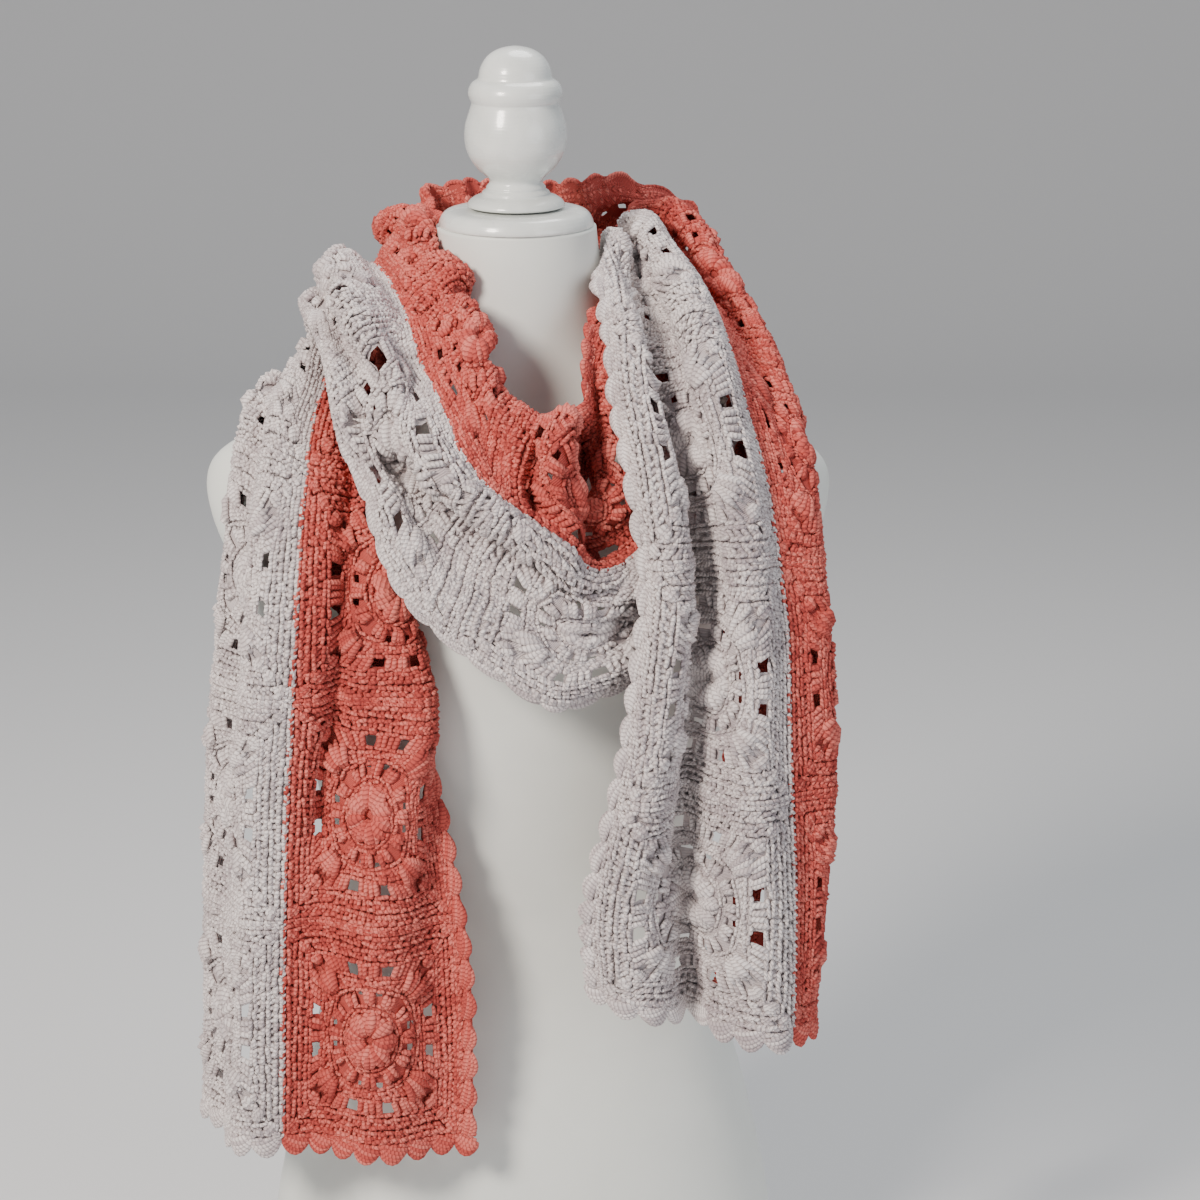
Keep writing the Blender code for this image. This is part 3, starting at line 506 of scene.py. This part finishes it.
def paintedWood(name):
    # turned beech under glossy off-white enamel: faint lathe rings and brush marks in a hard shine
    made, tree = newMaterial(name)
    place = node(tree, "ShaderNodeTexCoord")
    rings = node(tree, "ShaderNodeTexWave", {"wave_type": "BANDS", "bands_direction": "Z"},
                 {"Scale": 160.0, "Distortion": 1.5, "Detail": 2.0, "Detail Scale": 3.0},
                 {"Vector": place.outputs["Object"]})
    pool = node(tree, "ShaderNodeTexNoise", inputs={"Scale": 45.0, "Detail": 3.0},
                links={"Vector": place.outputs["Object"]})
    ramp = node(tree, "ShaderNodeValToRGB", links={"Fac": pool.outputs["Fac"]})
    ramp.color_ramp.elements[0].position, ramp.color_ramp.elements[0].color = 0.25, linear("d6dad6")
    ramp.color_ramp.elements[1].position, ramp.color_ramp.elements[1].color = 0.75, linear("e9ece8")
    rough = node(tree, "ShaderNodeMapRange", inputs={"To Min": 0.2, "To Max": 0.34},
                 links={"Value": pool.outputs["Fac"]})
    bump = node(tree, "ShaderNodeBump", inputs={"Strength": 0.12, "Distance": 0.0003},
                links={"Height": rings.outputs["Fac"]})
    shader = node(tree, "ShaderNodeBsdfPrincipled",
                  inputs={"IOR": 1.5, "Coat Weight": 0.6, "Coat Roughness": 0.12},
                  links={"Base Color": ramp.outputs["Color"], "Roughness": rough.outputs["Result"],
                         "Normal": bump.outputs["Normal"]})
    node(tree, "ShaderNodeOutputMaterial", links={"Surface": shader.outputs["BSDF"]})
    return made


def mouldedShell(name):
    # moulded polyurethane shell, satin off-white: smooth, with a very slight orange peel and hand marks
    made, tree = newMaterial(name)
    place = node(tree, "ShaderNodeTexCoord")
    marks = node(tree, "ShaderNodeTexNoise", inputs={"Scale": 9.0, "Detail": 4.0, "Roughness": 0.6},
                 links={"Vector": place.outputs["Object"]})
    peel = node(tree, "ShaderNodeTexNoise", inputs={"Scale": 420.0, "Detail": 2.0},
                links={"Vector": place.outputs["Object"]})
    ramp = node(tree, "ShaderNodeValToRGB", links={"Fac": marks.outputs["Fac"]})
    ramp.color_ramp.elements[0].position, ramp.color_ramp.elements[0].color = 0.25, linear("dcdfd9")
    ramp.color_ramp.elements[1].position, ramp.color_ramp.elements[1].color = 0.75, linear("e8ebe5")
    rough = node(tree, "ShaderNodeMapRange", inputs={"To Min": 0.42, "To Max": 0.58},
                 links={"Value": marks.outputs["Fac"]})
    bump = node(tree, "ShaderNodeBump", inputs={"Strength": 0.08, "Distance": 0.0004},
                links={"Height": peel.outputs["Fac"]})
    node(tree, "ShaderNodeOutputMaterial", links={"Surface": node(
        tree, "ShaderNodeBsdfPrincipled", inputs={"IOR": 1.46}, links={
            "Base Color": ramp.outputs["Color"], "Roughness": rough.outputs["Result"],
                   "Normal": bump.outputs["Normal"]},
    ).outputs["BSDF"]})
    return made


# the fourth colour of each yarn is painted shade, laid in the crevices between plies
yarns = {
    "pale": woolYarn("pale worsted yarn, crocheted", "e8e0de", "d0c6c5", "ab9ea1", "6f6367"),
    "coral": woolYarn("coral worsted yarn, crocheted", "dd786c", "c4574e", "9c3a36", "5e1b1e"),
}
paint = paintedWood("painted turned beech")
shell = mouldedShell("satin moulded form shell")


square = {
    "petals": 8, "petalStrands": 4, "petalIn": 2.2, "petalOut": 19.0, "petalHeight": 5.6, "petalYarn": 2.35,
    "clusters": 12, "clusterIn": 21.0, "clusterOut": 31.5, "clusterSpread": 3.6, "clusterHeight": 2.9,
    "postYarn": 1.9, "jitter": 0.45, "warp": 1.0,
}

# chains: size (mm from the middle), how square the round is, links, half width, height, yarn
chains = [
    (20.4, 0.0, 24, 1.9, 2.2, 1.2),
    (32.6, 0.3, 38, 1.8, 1.7, 1.2),
    (37.2, 0.95, 50, 1.5, 2.2, 1.25),
    (48.8, 1.0, 68, 1.6, 2.5, 1.3),
    (56.8, 1.0, 78, 2.2, 2.6, 1.35),
    (65.2, 1.0, 90, 2.3, 3.0, 1.45),
]

# posts: from one round to the next, places along a side in mm at the outer round, height, yarn
postRounds = [
    ((32.6, 0.3), (37.2, 0.95), (-30, -25, -20, -15, -10, -5, 0, 5, 10, 15, 20, 25, 30), 1.0, 1.6),
    ((38.0, 0.95), (48.2, 1.0),
     (-38, -33.5, -29, -24.8, -20.7, -6.4, -2.1, 2.1, 6.4, 20.7, 24.8, 29, 33.5, 38), 1.8, 2.0),
    ((48.8, 1.0), (56.8, 1.0), tuple(range(-48, 49, 4)), 0.9, 1.7),
    ((56.8, 1.0), (65.2, 1.0), tuple(range(-56, 57, 4)), 0.9, 1.7),
]


# leaves at the corners: from and to, mm from the middle on the diagonal, how far they open, height, yarn
fans = [(35, 57, 0.42, 4.6, 2.3), (57, 68, 0.36, 2.4, 1.8), (68, 80, 0.32, 2.2, 1.8), (80, 91, 0.3, 2.2, 1.8)]


# one leg of a link, from root to tip: place, spread and rise; and how far a link laps the next
link = {"place": np.array([0.0, 0.28, 0.72, 1.0]), "spread": np.array([0.15, 0.75, 1.0, 0.75]),
        "rise": np.array([0.45, 1.0, 0.85, 0.2]), "lap": 1.45}


def roundPoint(size, squareness, place):
    # place runs 0 to 4, a side each: a circle and a square of one size, mixed
    side = np.floor(place)
    f = 2 * (place - side) - 1
    turn = side * pi / 2
    bend = turn + f * pi / 4
    x = (1 - squareness) * np.cos(bend) + squareness * (np.cos(turn) - f * np.sin(turn))
    y = (1 - squareness) * np.sin(bend) + squareness * (np.sin(turn) + f * np.cos(turn))
    return np.stack([x, y], axis=-1) * size


def chainLegs(size, squareness, links, half, height):
    # a V for each link: two legs that leave one point, spread, and tuck under the next link
    q = link["place"]
    place = np.arange(links) * 4 / links
    step = 4 / links
    middle = roundPoint(size, squareness, (place[:, None] + step * link["lap"] * q[None]) % 4)
    ahead = roundPoint(size, squareness, (place[:, None] + step * link["lap"] * q[None] + 0.01) % 4)
    way = unit(ahead - middle)
    away = np.stack([way[..., 1], -way[..., 0]], axis=-1)
    spread = half * link["spread"]
    up = height * link["rise"]
    legs = [middle + away * (sign * spread)[None, :, None] for sign in (-1, 1)]
    return np.concatenate(legs), np.tile(up, (2 * links, 1))


def postPaths(inner, outer, places, height):
    sides = np.arange(4)[:, None]
    f = np.array(places, dtype=float)[None] / outer[0]
    place = (sides + (f + 1) / 2).reshape(-1)
    start, end = roundPoint(*inner, place), roundPoint(*outer, place)
    q = np.array([-0.1, 0.2, 0.8, 1.1])
    paths = start[:, None] + (end - start)[:, None] * q[None, :, None]
    return paths, np.tile(height * np.array([0.1, 1, 1, 0.2]), (len(place), 1))


def petalPaths(turned):
    q = np.linspace(0, 1, 7)
    reach = square["petalIn"] + (square["petalOut"] - square["petalIn"]) * q
    lean = np.linspace(-1, 1, square["petalStrands"])
    petal = turned + 2 * pi * np.arange(square["petals"]) / square["petals"]
    width = 0.36 * np.sin(pi * np.clip(q * 0.9 + 0.08, 0, 1)) ** 0.7
    turn = petal[:, None, None] + lean[None, :, None] * width[None, None]
    paths = np.stack([np.cos(turn), np.sin(turn)], axis=-1) * reach[None, None, :, None]
    up = square["petalHeight"] * (0.25 + 0.75 * np.sin(pi * np.clip(q, 0, 1)) ** 0.8)
    up = up[None, None] * (1 - 0.22 * lean[None, :, None] ** 2) * np.ones((square["petals"], 1, 1))
    return paths.reshape(-1, 7, 2), up.reshape(-1, 7)


def clusterPaths():
    # three posts each, gathered at the flower and opening outwards, so small gaps stay between
    q = np.array([-0.05, 0.3, 0.75, 1.08])
    turn = 2 * pi * np.arange(square["clusters"]) / square["clusters"]
    reach = square["clusterIn"] + (square["clusterOut"] - square["clusterIn"]) * q
    paths = []
    for lean in (-1, 0, 1):
        aside = lean * square["clusterSpread"] * (0.45 + 0.5 * q)
        x = reach[None] * np.cos(turn)[:, None] - aside[None] * np.sin(turn)[:, None]
        y = reach[None] * np.sin(turn)[:, None] + aside[None] * np.cos(turn)[:, None]
        paths.append(np.stack([x, y], axis=-1))
    paths = np.concatenate(paths)
    return paths, square["clusterHeight"] * np.tile([0.2, 0.95, 1.0, 0.2], (len(paths), 1))


def fanPaths(near, far, spread, height):
    # five long posts from one corner gap, spread like a leaf: each leans out from the diagonal
    q = np.array([0.0, 0.25, 0.6, 1.0])
    paths, up = [], []
    for corner in range(4):
        out = pi / 4 + corner * pi / 2
        for lean in np.linspace(-1, 1, 5):
            ahead = near + (far - near) * q * (1 - 0.14 * lean * lean)
            aside = lean * spread * (far - near) * (0.25 + 0.75 * q)
            x, y = ahead * cos(out) - aside * sin(out), ahead * sin(out) + aside * cos(out)
            paths.append(np.stack([x, y], axis=-1))
            up.append(height * np.array([0.5, 1.0, 1.0, 0.35]))
    return np.array(paths), np.array(up)


def squareChart(turned, plain):
    # every strand of a square: paths in mm from its middle, height, yarn, sides
    chart = []
    if not plain:
        paths, up = petalPaths(turned)
        chart.append((paths, up, square["petalYarn"] * np.array([0, 0.7, 1, 1.15, 1.1, 0.85, 0]), 5))
        paths, up = clusterPaths()
        chart.append((paths, up, square["postYarn"] * np.array([0, 1, 1, 0]), 4))
    for size, squareness, links, half, height, yarn in chains[(2 if plain else 0):]:
        paths, up = chainLegs(size, squareness, links, half, height)
        chart.append((paths, up, yarn * np.array([0, 1.1, 1, 0]), 4))
    for inner, outer, places, height, yarn in postRounds[(1 if plain else 0):]:
        paths, up = postPaths(inner, outer, places, height)
        chart.append((paths, up, yarn * np.array([0, 1, 1, 0]), 4))
    for near, far, spread, height, yarn in fans:
        paths, up = fanPaths(near, far, spread, height)
        chart.append((paths, up, yarn * np.array([0, 1, 1.15, 0]), 4))
    return chart


def workSquare(strands, row, sign, side, plain):
    # sign: -1 pale, 1 coral; side: the face of the cloth that shows
    relief = side * (0.75 if side < 0 else 1.0)
    phase = chance.uniform(0, 2 * pi, 4)
    for paths, up, yarn, sides in squareChart(chance.uniform(0, pi / 4), plain):
        paths = paths + chance.normal(0, square["jitter"], (len(paths), 1, 2))
        up = up * chance.uniform(0.82, 1.18, (len(paths), 1))
        inside = 1 - np.clip(np.abs(paths).max(axis=-1, keepdims=True) / 67.5, 0, 1) ** 4
        wander = np.sin(paths[..., ::-1] / 19 + phase[:2]) * np.cos(paths / 23 + phase[2:])
        paths = paths + square["warp"] * inside * wander
        across = sign * (cloth["column"] / 2 + paths[..., 0])
        along = (row + 0.5 + paths[..., 1] / cloth["column"]) * pitch
        strands.add(along, across, up * relief, yarn * np.ones((len(paths), 1)), sides)


# the base: the cloth between and behind the strands, open at the same gaps as the solids
halfLines = np.array([4.5, 9, 13.5, 18, 22.5, 27, 31, 35, 39, 42.5, 46, 50.5, 55, 59.5, 63.5])
squareLines = np.concatenate([-halfLines[::-1], [0.0], halfLines])
base = {"from": [0, 18, 22.5, 27, 31, 35, 39, 42.5, 46, 50.5, 55, 59.5, 63.5, 67.5],
        "height": [1.2, 1.2, 0, 0, 1.0, 0.6, 1.0, -0.8, 0.9, -0.9, 0.9, -0.9, 0.9, 1.2]}
gaps = {"from": 9.0, "to": 18.0, "in": 39.0, "out": 46.0,
        "smallFrom": 4.5, "smallTo": 9.0, "smallIn": 27.0, "smallOut": 31.0}


def basePiece(name, sign, look, nodes):
    # one colour of the whole strip: a grid that dips between the chains and is left out at the gaps
    inner = cloth["column"] / 2
    uPlace = np.concatenate([[-inner], squareLines, [inner, inner + 4, inner + 8.5]])
    uLines = uPlace + inner
    uLines[0] = 0.4
    vPlace = np.tile(np.concatenate([[-inner], squareLines]), cloth["rows"])
    rows = np.repeat(np.arange(cloth["rows"]), len(squareLines) + 1)
    vLines = np.concatenate([(rows + 0.5 + vPlace / cloth["column"]) * pitch, [clothLength]])
    vPlace = np.concatenate([vPlace, [inner]])
    along, across = np.meshgrid(vLines, sign * uLines, indexing="ij")
    ring = np.maximum(np.abs(vPlace)[:, None], np.abs(uPlace)[None])
    ridge = np.interp(ring, base["from"], base["height"])
    flip = 1 - 2 * np.clip((along - stretches["tail_right"][0] * pitch) / 20 + 0.5, 0, 1)
    points, _ = onCloth(along, across, ridge * flip)
    wide = len(uLines)
    cells = np.arange(len(vLines) - 1)[:, None] * wide + np.arange(wide - 1)[None]
    vEnd = np.where(vPlace[1:] == -inner, inner, vPlace[1:])
    a = np.abs((vPlace[:-1] + vEnd) / 2)[:, None]
    b = np.abs((uPlace[:-1] + uPlace[1:]) / 2)[None]
    low, high = np.minimum(a, b), np.maximum(a, b)
    hole = (low > gaps["from"]) & (low < gaps["to"]) & (high > gaps["in"]) & (high < gaps["out"])
    small = (low > gaps["smallFrom"]) & (low < gaps["smallTo"])
    small &= (high > gaps["smallIn"]) & (high < gaps["smallOut"])
    cells = cells[~(hole | small)]
    quads = np.stack([cells, cells + wide, cells + wide + 1, cells + 1], axis=-1)
    if sign < 0:
        quads = quads[:, ::-1]
    used = np.unique(quads)
    index = np.full(along.size, -1)
    index[used] = np.arange(len(used))
    points = points.reshape(-1, 3)[used]
    uv = np.stack([across, along], axis=-1).reshape(-1, 2)[used]
    # painted shade: the base's tone is held at 0.1, low on the yarn's ramp, so the cloth under and between the
    # strands is coloured darker than the strands
    piece = newPiece(name, points, [index[quads]], look, {"tone": np.full(len(points), 0.1)}, uv)
    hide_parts(*nodes)
    return piece


edging = {"scallop": 19.0, "strands": 5, "yarn": 1.65, "rise": 3.1, "inner": 134.0, "depth": 13.4, "edge": 147.6}
puffEnds = np.array([0, 0.85, 1, 1.05, 1.05, 1, 0.85, 0])


def puffStrands(count):
    # one puff of the braid: strands that leave the panel under the puff before, sweep along the
    # edge and tuck in at its outer line, so the puffs lie on each other like a plait
    q = np.linspace(0, 1, 8)
    lean = (np.arange(count) + 0.5) / count
    swell = np.sin(pi * q) ** 0.8
    out = (0.04 + 0.42 * q[None] + (0.04 + 0.66 * lean[:, None]) * swell[None]).clip(0, 0.97)
    along = -0.12 + q[None] * (1.3 - 0.2 * lean[:, None]) + 0.16 * (0.5 - lean[:, None]) * swell[None]
    up = 0.15 + (0.5 + 0.75 * np.sin(pi * (0.15 + 0.7 * lean)))[:, None] * (np.sin(pi * q**1.25) ** 0.7)[None]
    return along, out, up


def sideEdging(strands, first, last, sign, side):
    start, end = first * pitch, last * pitch
    count = round((end - start) / edging["scallop"])
    size = (end - start) / count
    along, out, up = puffStrands(edging["strands"])
    begin = start + size * np.arange(count)[:, None, None]
    jolt = chance.normal(0, 0.4, (count, along.shape[0], 1))
    alongAll = begin + size * along[None] + jolt
    outAll = edging["depth"] * np.broadcast_to(out[None], alongAll.shape)
    acrossAll = np.clip(sign * (edging["inner"] + outAll + jolt * 0.5), -edging["edge"], edging["edge"])
    heightAll = side * edging["rise"] * np.broadcast_to(up[None], alongAll.shape)
    shape = (-1, along.shape[1])
    strands.add(alongAll.reshape(shape), acrossAll.reshape(shape), heightAll.reshape(shape),
                edging["yarn"] * puffEnds[None] * np.ones((count * along.shape[0], 1)), 5)


def hemEdging(strands, atEnd, sign, side):
    # the same puffs across one hem, rooted in the panel
    count = round(cloth["halfWidth"] / edging["scallop"])
    size = (cloth["halfWidth"] - 1) / count
    along, out, up = puffStrands(edging["strands"])
    across = sign * (1 + size * (np.arange(count)[:, None, None] + along[None]))
    beyond = np.broadcast_to((edging["depth"] + 3) * out[None], across.shape) - 4.5
    place = clothLength + beyond if atEnd else -beyond
    shape = (-1, along.shape[1])
    up = side * edging["rise"] * np.broadcast_to(up[None], across.shape)
    across = np.clip(across, -edging["edge"], edging["edge"])
    strands.add(place.reshape(shape), across.reshape(shape), up.reshape(shape),
                edging["yarn"] * puffEnds[None] * np.ones((count * along.shape[0], 1)), 5)


def lineOfLinks(strands, along, across, height, half, yarn, turned):
    # a chain along a line of the cloth: V after V; turned: the line runs across the strip
    n = len(along) - 1
    q = link["place"] * link["lap"]
    begin, step = np.arange(n)[:, None], q[None]
    a = np.interp(begin + step, np.arange(n + 1), along)
    b = np.interp(begin + step, np.arange(n + 1), across)
    spread = half * link["spread"]
    up = height * link["rise"] * np.ones((n, 1))
    for way in (-1, 1):
        shift = way * spread[None] * np.ones((n, 1))
        strands.add(a + (shift if turned else 0), b + (0 if turned else shift), up,
                    yarn * np.array([0, 1.1, 1, 0])[None] * np.ones((n, 1)), 4)


def seamStitches(strands, first, last, side):
    # pale whip stitches over the middle seam, one every 4.6 mm, with coral between them
    count = round((last - first) * pitch / 4.6)
    begin = np.linspace(first * pitch, last * pitch, count, endpoint=False)[:, None]
    q = np.array([0.0, 0.3, 0.7, 1.0])[None]
    strands.add(begin + 3.4 * q + 0 * begin, -2.6 + 5.6 * q + 0 * begin,
                side * (2.0 + 1.3 * np.sin(pi * q)) + 0 * begin,
                np.array([0, 1.15, 1.05, 0])[None] * np.ones((count, 1)), 4)


made = {"pale": [], "coral": []}
for name, (first, last) in stretches.items():
    side = -1.0 if name == "tail_right" else 1.0
    plain = name == "back_under"
    for colour, sign in (("pale", -1), ("coral", 1)):
        look, slot, label = yarns[colour], colour + "_yarn", f"{name}_{colour}"
        strands = Strands()
        for row in range(first, last):
            workSquare(strands, row, sign, side, plain)
        for place in (row * pitch for row in range(first, last) if row > 0):
            steps = np.linspace(2, cloth["column"], 29)
            lineOfLinks(strands, np.full(29, place), sign * steps, side * 3.0, 2.0, 1.3, True)
        if colour == "pale":
            seamStitches(strands, first, last, side)
        stitches = strands.piece(label + "_stitches", look, slot)
        trim = Strands()
        sideEdging(trim, first, last, sign, side)
        if name.startswith("tail"):
            hemEdging(trim, name == "tail_right", sign, side)
            hemLine = clothLength - 1.5 if name == "tail_right" else 1.5
            hemSteps = sign * np.linspace(1, 146, 31)
            lineOfLinks(trim, np.full(31, hemLine), hemSteps, side * 2.6, 2.2, 1.5, True)
        steps = np.linspace(first * pitch, last * pitch, round((last - first) * pitch / 5))
        lineOfLinks(trim, steps, np.full(len(steps), sign * 134.5), side * 2.9, 1.9, 1.3, False)
        border = trim.piece(label + "_border", look, slot)
        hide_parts(label + "_braid", *([label + "_hem"] if name.startswith("tail") else []))
        made[colour] += [stitches, border]
        print(label, "worked:", len(stitches.data.polygons) + len(border.data.polygons), "faces")

for colour, sign in (("pale", -1), ("coral", 1)):
    nodes = [f"{name}_{colour}" for name in stretches]
    body = basePiece("cloth_" + colour, sign, yarns[colour], nodes)


def formTorso():
    # rings of half ellipses, front and back, on a smooth curve through the ring table
    aroundSteps, upSteps = 96, 130
    place = np.linspace(0, len(torsoRings) - 1, upSteps)
    rings = smoothRow(torsoRings, place)
    turn = 2 * pi * np.arange(aroundSteps) / aroundSteps
    deep = np.where(np.sin(turn)[None] > 0, rings[:, 3:4], rings[:, 2:3])
    points = np.stack([
        rings[:, 1:2] * np.cos(turn)[None], deep * np.sin(turn)[None],
        np.broadcast_to(rings[:, :1], deep.shape)], axis=-1)
    k = np.arange(aroundSteps)
    after = (k + 1) % aroundSteps
    start = np.arange(upSteps - 1)[:, None] * aroundSteps
    above = start + aroundSteps
    quads = np.stack([start + k, start + after, above + after, above + k], axis=-1)
    bottom, top, lastRing = upSteps * aroundSteps, upSteps * aroundSteps + 1, start[-1] + aroundSteps
    caps = np.concatenate([
        np.stack([np.full(aroundSteps, bottom), after, k], axis=-1),
        np.stack([np.full(aroundSteps, top), lastRing + k, lastRing + after], axis=-1),
    ])
    points = np.concatenate([points.reshape(-1, 3), [[0, 0, 0], [0, 0, 708.0]]])
    piece = newPiece("torso_shell", points, [quads.reshape(-1, 4), caps], shell)
    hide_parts("form_torso")
    return piece


def turnedPiece(name, profile, nodeName):
    # a profile of radius and height, turned about the upright axis
    steps = 96
    profile = np.array(profile, dtype=float)
    turn = 2 * pi * np.arange(steps) / steps
    ring = profile[1:-1]
    points = np.stack([ring[:, :1] * np.cos(turn), ring[:, :1] * np.sin(turn),
                       np.broadcast_to(ring[:, 1:], (len(ring), steps))], axis=-1).reshape(-1, 3)
    k = np.arange(steps)
    after = (k + 1) % steps
    start = np.arange(len(ring) - 1)[:, None] * steps
    quads = np.stack([start + k, start + steps + k, start + steps + after, start + after], axis=-1)
    top, bottom = len(points), len(points) + 1
    caps = np.concatenate([
        np.stack([np.full(steps, top), k, after], axis=-1),
        np.stack([np.full(steps, bottom), start[-1] + steps + after, start[-1] + steps + k], axis=-1),
    ])
    points = np.concatenate([points, [[0, 0, profile[0, 1]], [0, 0, profile[-1, 1]]]])
    piece = newPiece(name, points, [quads.reshape(-1, 4), caps], paint)
    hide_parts(nodeName)
    return piece


def rounded(points, passes=2):
    # a profile with its corners cut twice, the ends held
    points = np.array(points, dtype=float)
    for _ in range(passes):
        near = points[:-1] * 0.75 + points[1:] * 0.25
        far = points[:-1] * 0.25 + points[1:] * 0.75
        middle = np.stack([near, far], axis=1).reshape(-1, 2)[1:-1]
        points = np.concatenate([points[:1], middle, points[-1:]])
    return points


capProfile = rounded([
    (0, 718.5), (30, 718.5), (40, 718), (44, 716), (46.5, 711), (46.5, 708.3), (45, 708.3), (0, 708.3),
])
finialProfile = rounded([
    (0, 815), (9, 813.7), (16.5, 809.5), (21, 802.5), (22, 796), (23, 795.2), (26.5, 793), (28.6, 787.5),
    (27, 783), (26, 781.5), (27.5, 777), (31, 766), (30, 753), (24, 743), (17, 737.5), (15.3, 734.5),
    (18, 731.6), (17.8, 730.2), (20.5, 728.4), (20.3, 727), (25, 725.6), (29, 722.6), (29.5, 718.8),
    (0, 718.8),
])
formTorso()
turnedPiece("neck_cap", capProfile, "form_cap")
turnedPiece("finial", finialProfile, "form_finial")
print("form made")


room = {"floor": "d9dadb", "width": 4.5, "front": -4.0, "back": 4.0, "height": 3.6, "bend": 1.2}


def backdrop():
    # one sheet: a flat floor that bends up behind in a quarter circle
    turn = np.linspace(0, pi / 2, 24)
    curve = room["back"] - room["bend"] + room["bend"] * np.sin(turn)
    y = np.concatenate([[room["front"]], curve, [room["back"]]])
    z = np.concatenate([[0], room["bend"] * (1 - np.cos(turn)), [room["height"]]]) - 0.0002
    points = [(x, b, c) for b, c in zip(y, z) for x in (-room["width"], room["width"])]
    faces = [(2 * k, 2 * k + 1, 2 * k + 3, 2 * k + 2) for k in range(len(y) - 1)]
    mesh = bpy.data.meshes.new("backdrop")
    mesh.from_pydata(points, [], faces)
    mesh.shade_smooth()
    made, tree = newMaterial("pale paper")
    shader = node(tree, "ShaderNodeBsdfPrincipled",
                  inputs={"Base Color": linear(room["floor"]), "Roughness": 0.9})
    node(tree, "ShaderNodeOutputMaterial", links={"Surface": shader.outputs["BSDF"]})
    mesh.materials.append(made)
    sheet = bpy.data.objects.new("backdrop", mesh)
    bpy.context.scene.collection.objects.link(sheet)


def softLight(name, place, target, size, power, colour):
    light = bpy.data.lights.new(name, "AREA")
    light.shape, light.size, light.energy, light.color = "DISK", size, power, linear(colour)[:3]
    lamp = bpy.data.objects.new(name, light)
    bpy.context.scene.collection.objects.link(lamp)
    lamp.location = place
    lamp.rotation_euler = (Vector(target) - Vector(place)).to_track_quat("-Z", "Y").to_euler()


backdrop()
# lights: name, place, what it faces, size in metres, watts, colour
lights = [
    ("key", (-1.3, -1.7, 1.9), (0, 0, 0.5), 0.7, 88, "fff4ea"),
    ("fill", (1.8, -1.6, 1.0), (0, 0, 0.45), 1.6, 15, "eef3ff"),
    ("top", (0.2, 0.6, 2.1), (0, 0, 0.6), 1.0, 20, "ffffff"),
]
for light in lights:
    softLight(*light)
world = bpy.data.worlds.new("studio")
bpy.context.scene.world = world
world.use_nodes = True
world.node_tree.nodes["Background"].inputs["Color"].default_value = linear("e6e9ee")
world.node_tree.nodes["Background"].inputs["Strength"].default_value = 0.42

view = {"place": (0.05022, -1.92252, 1.02539), "aim": (0.05022, 0.0, 0.47412), "lens": 96.77}
lens = bpy.data.cameras.new("camera")
lens.lens, lens.sensor_width, lens.sensor_fit = view["lens"], 36.0, "HORIZONTAL"
camera = bpy.data.objects.new("camera", lens)
bpy.context.scene.collection.objects.link(camera)
camera.location = view["place"]
camera.rotation_euler = (Vector(view["aim"]) - Vector(view["place"])).to_track_quat("-Z", "Y").to_euler()
bpy.context.scene.camera = camera
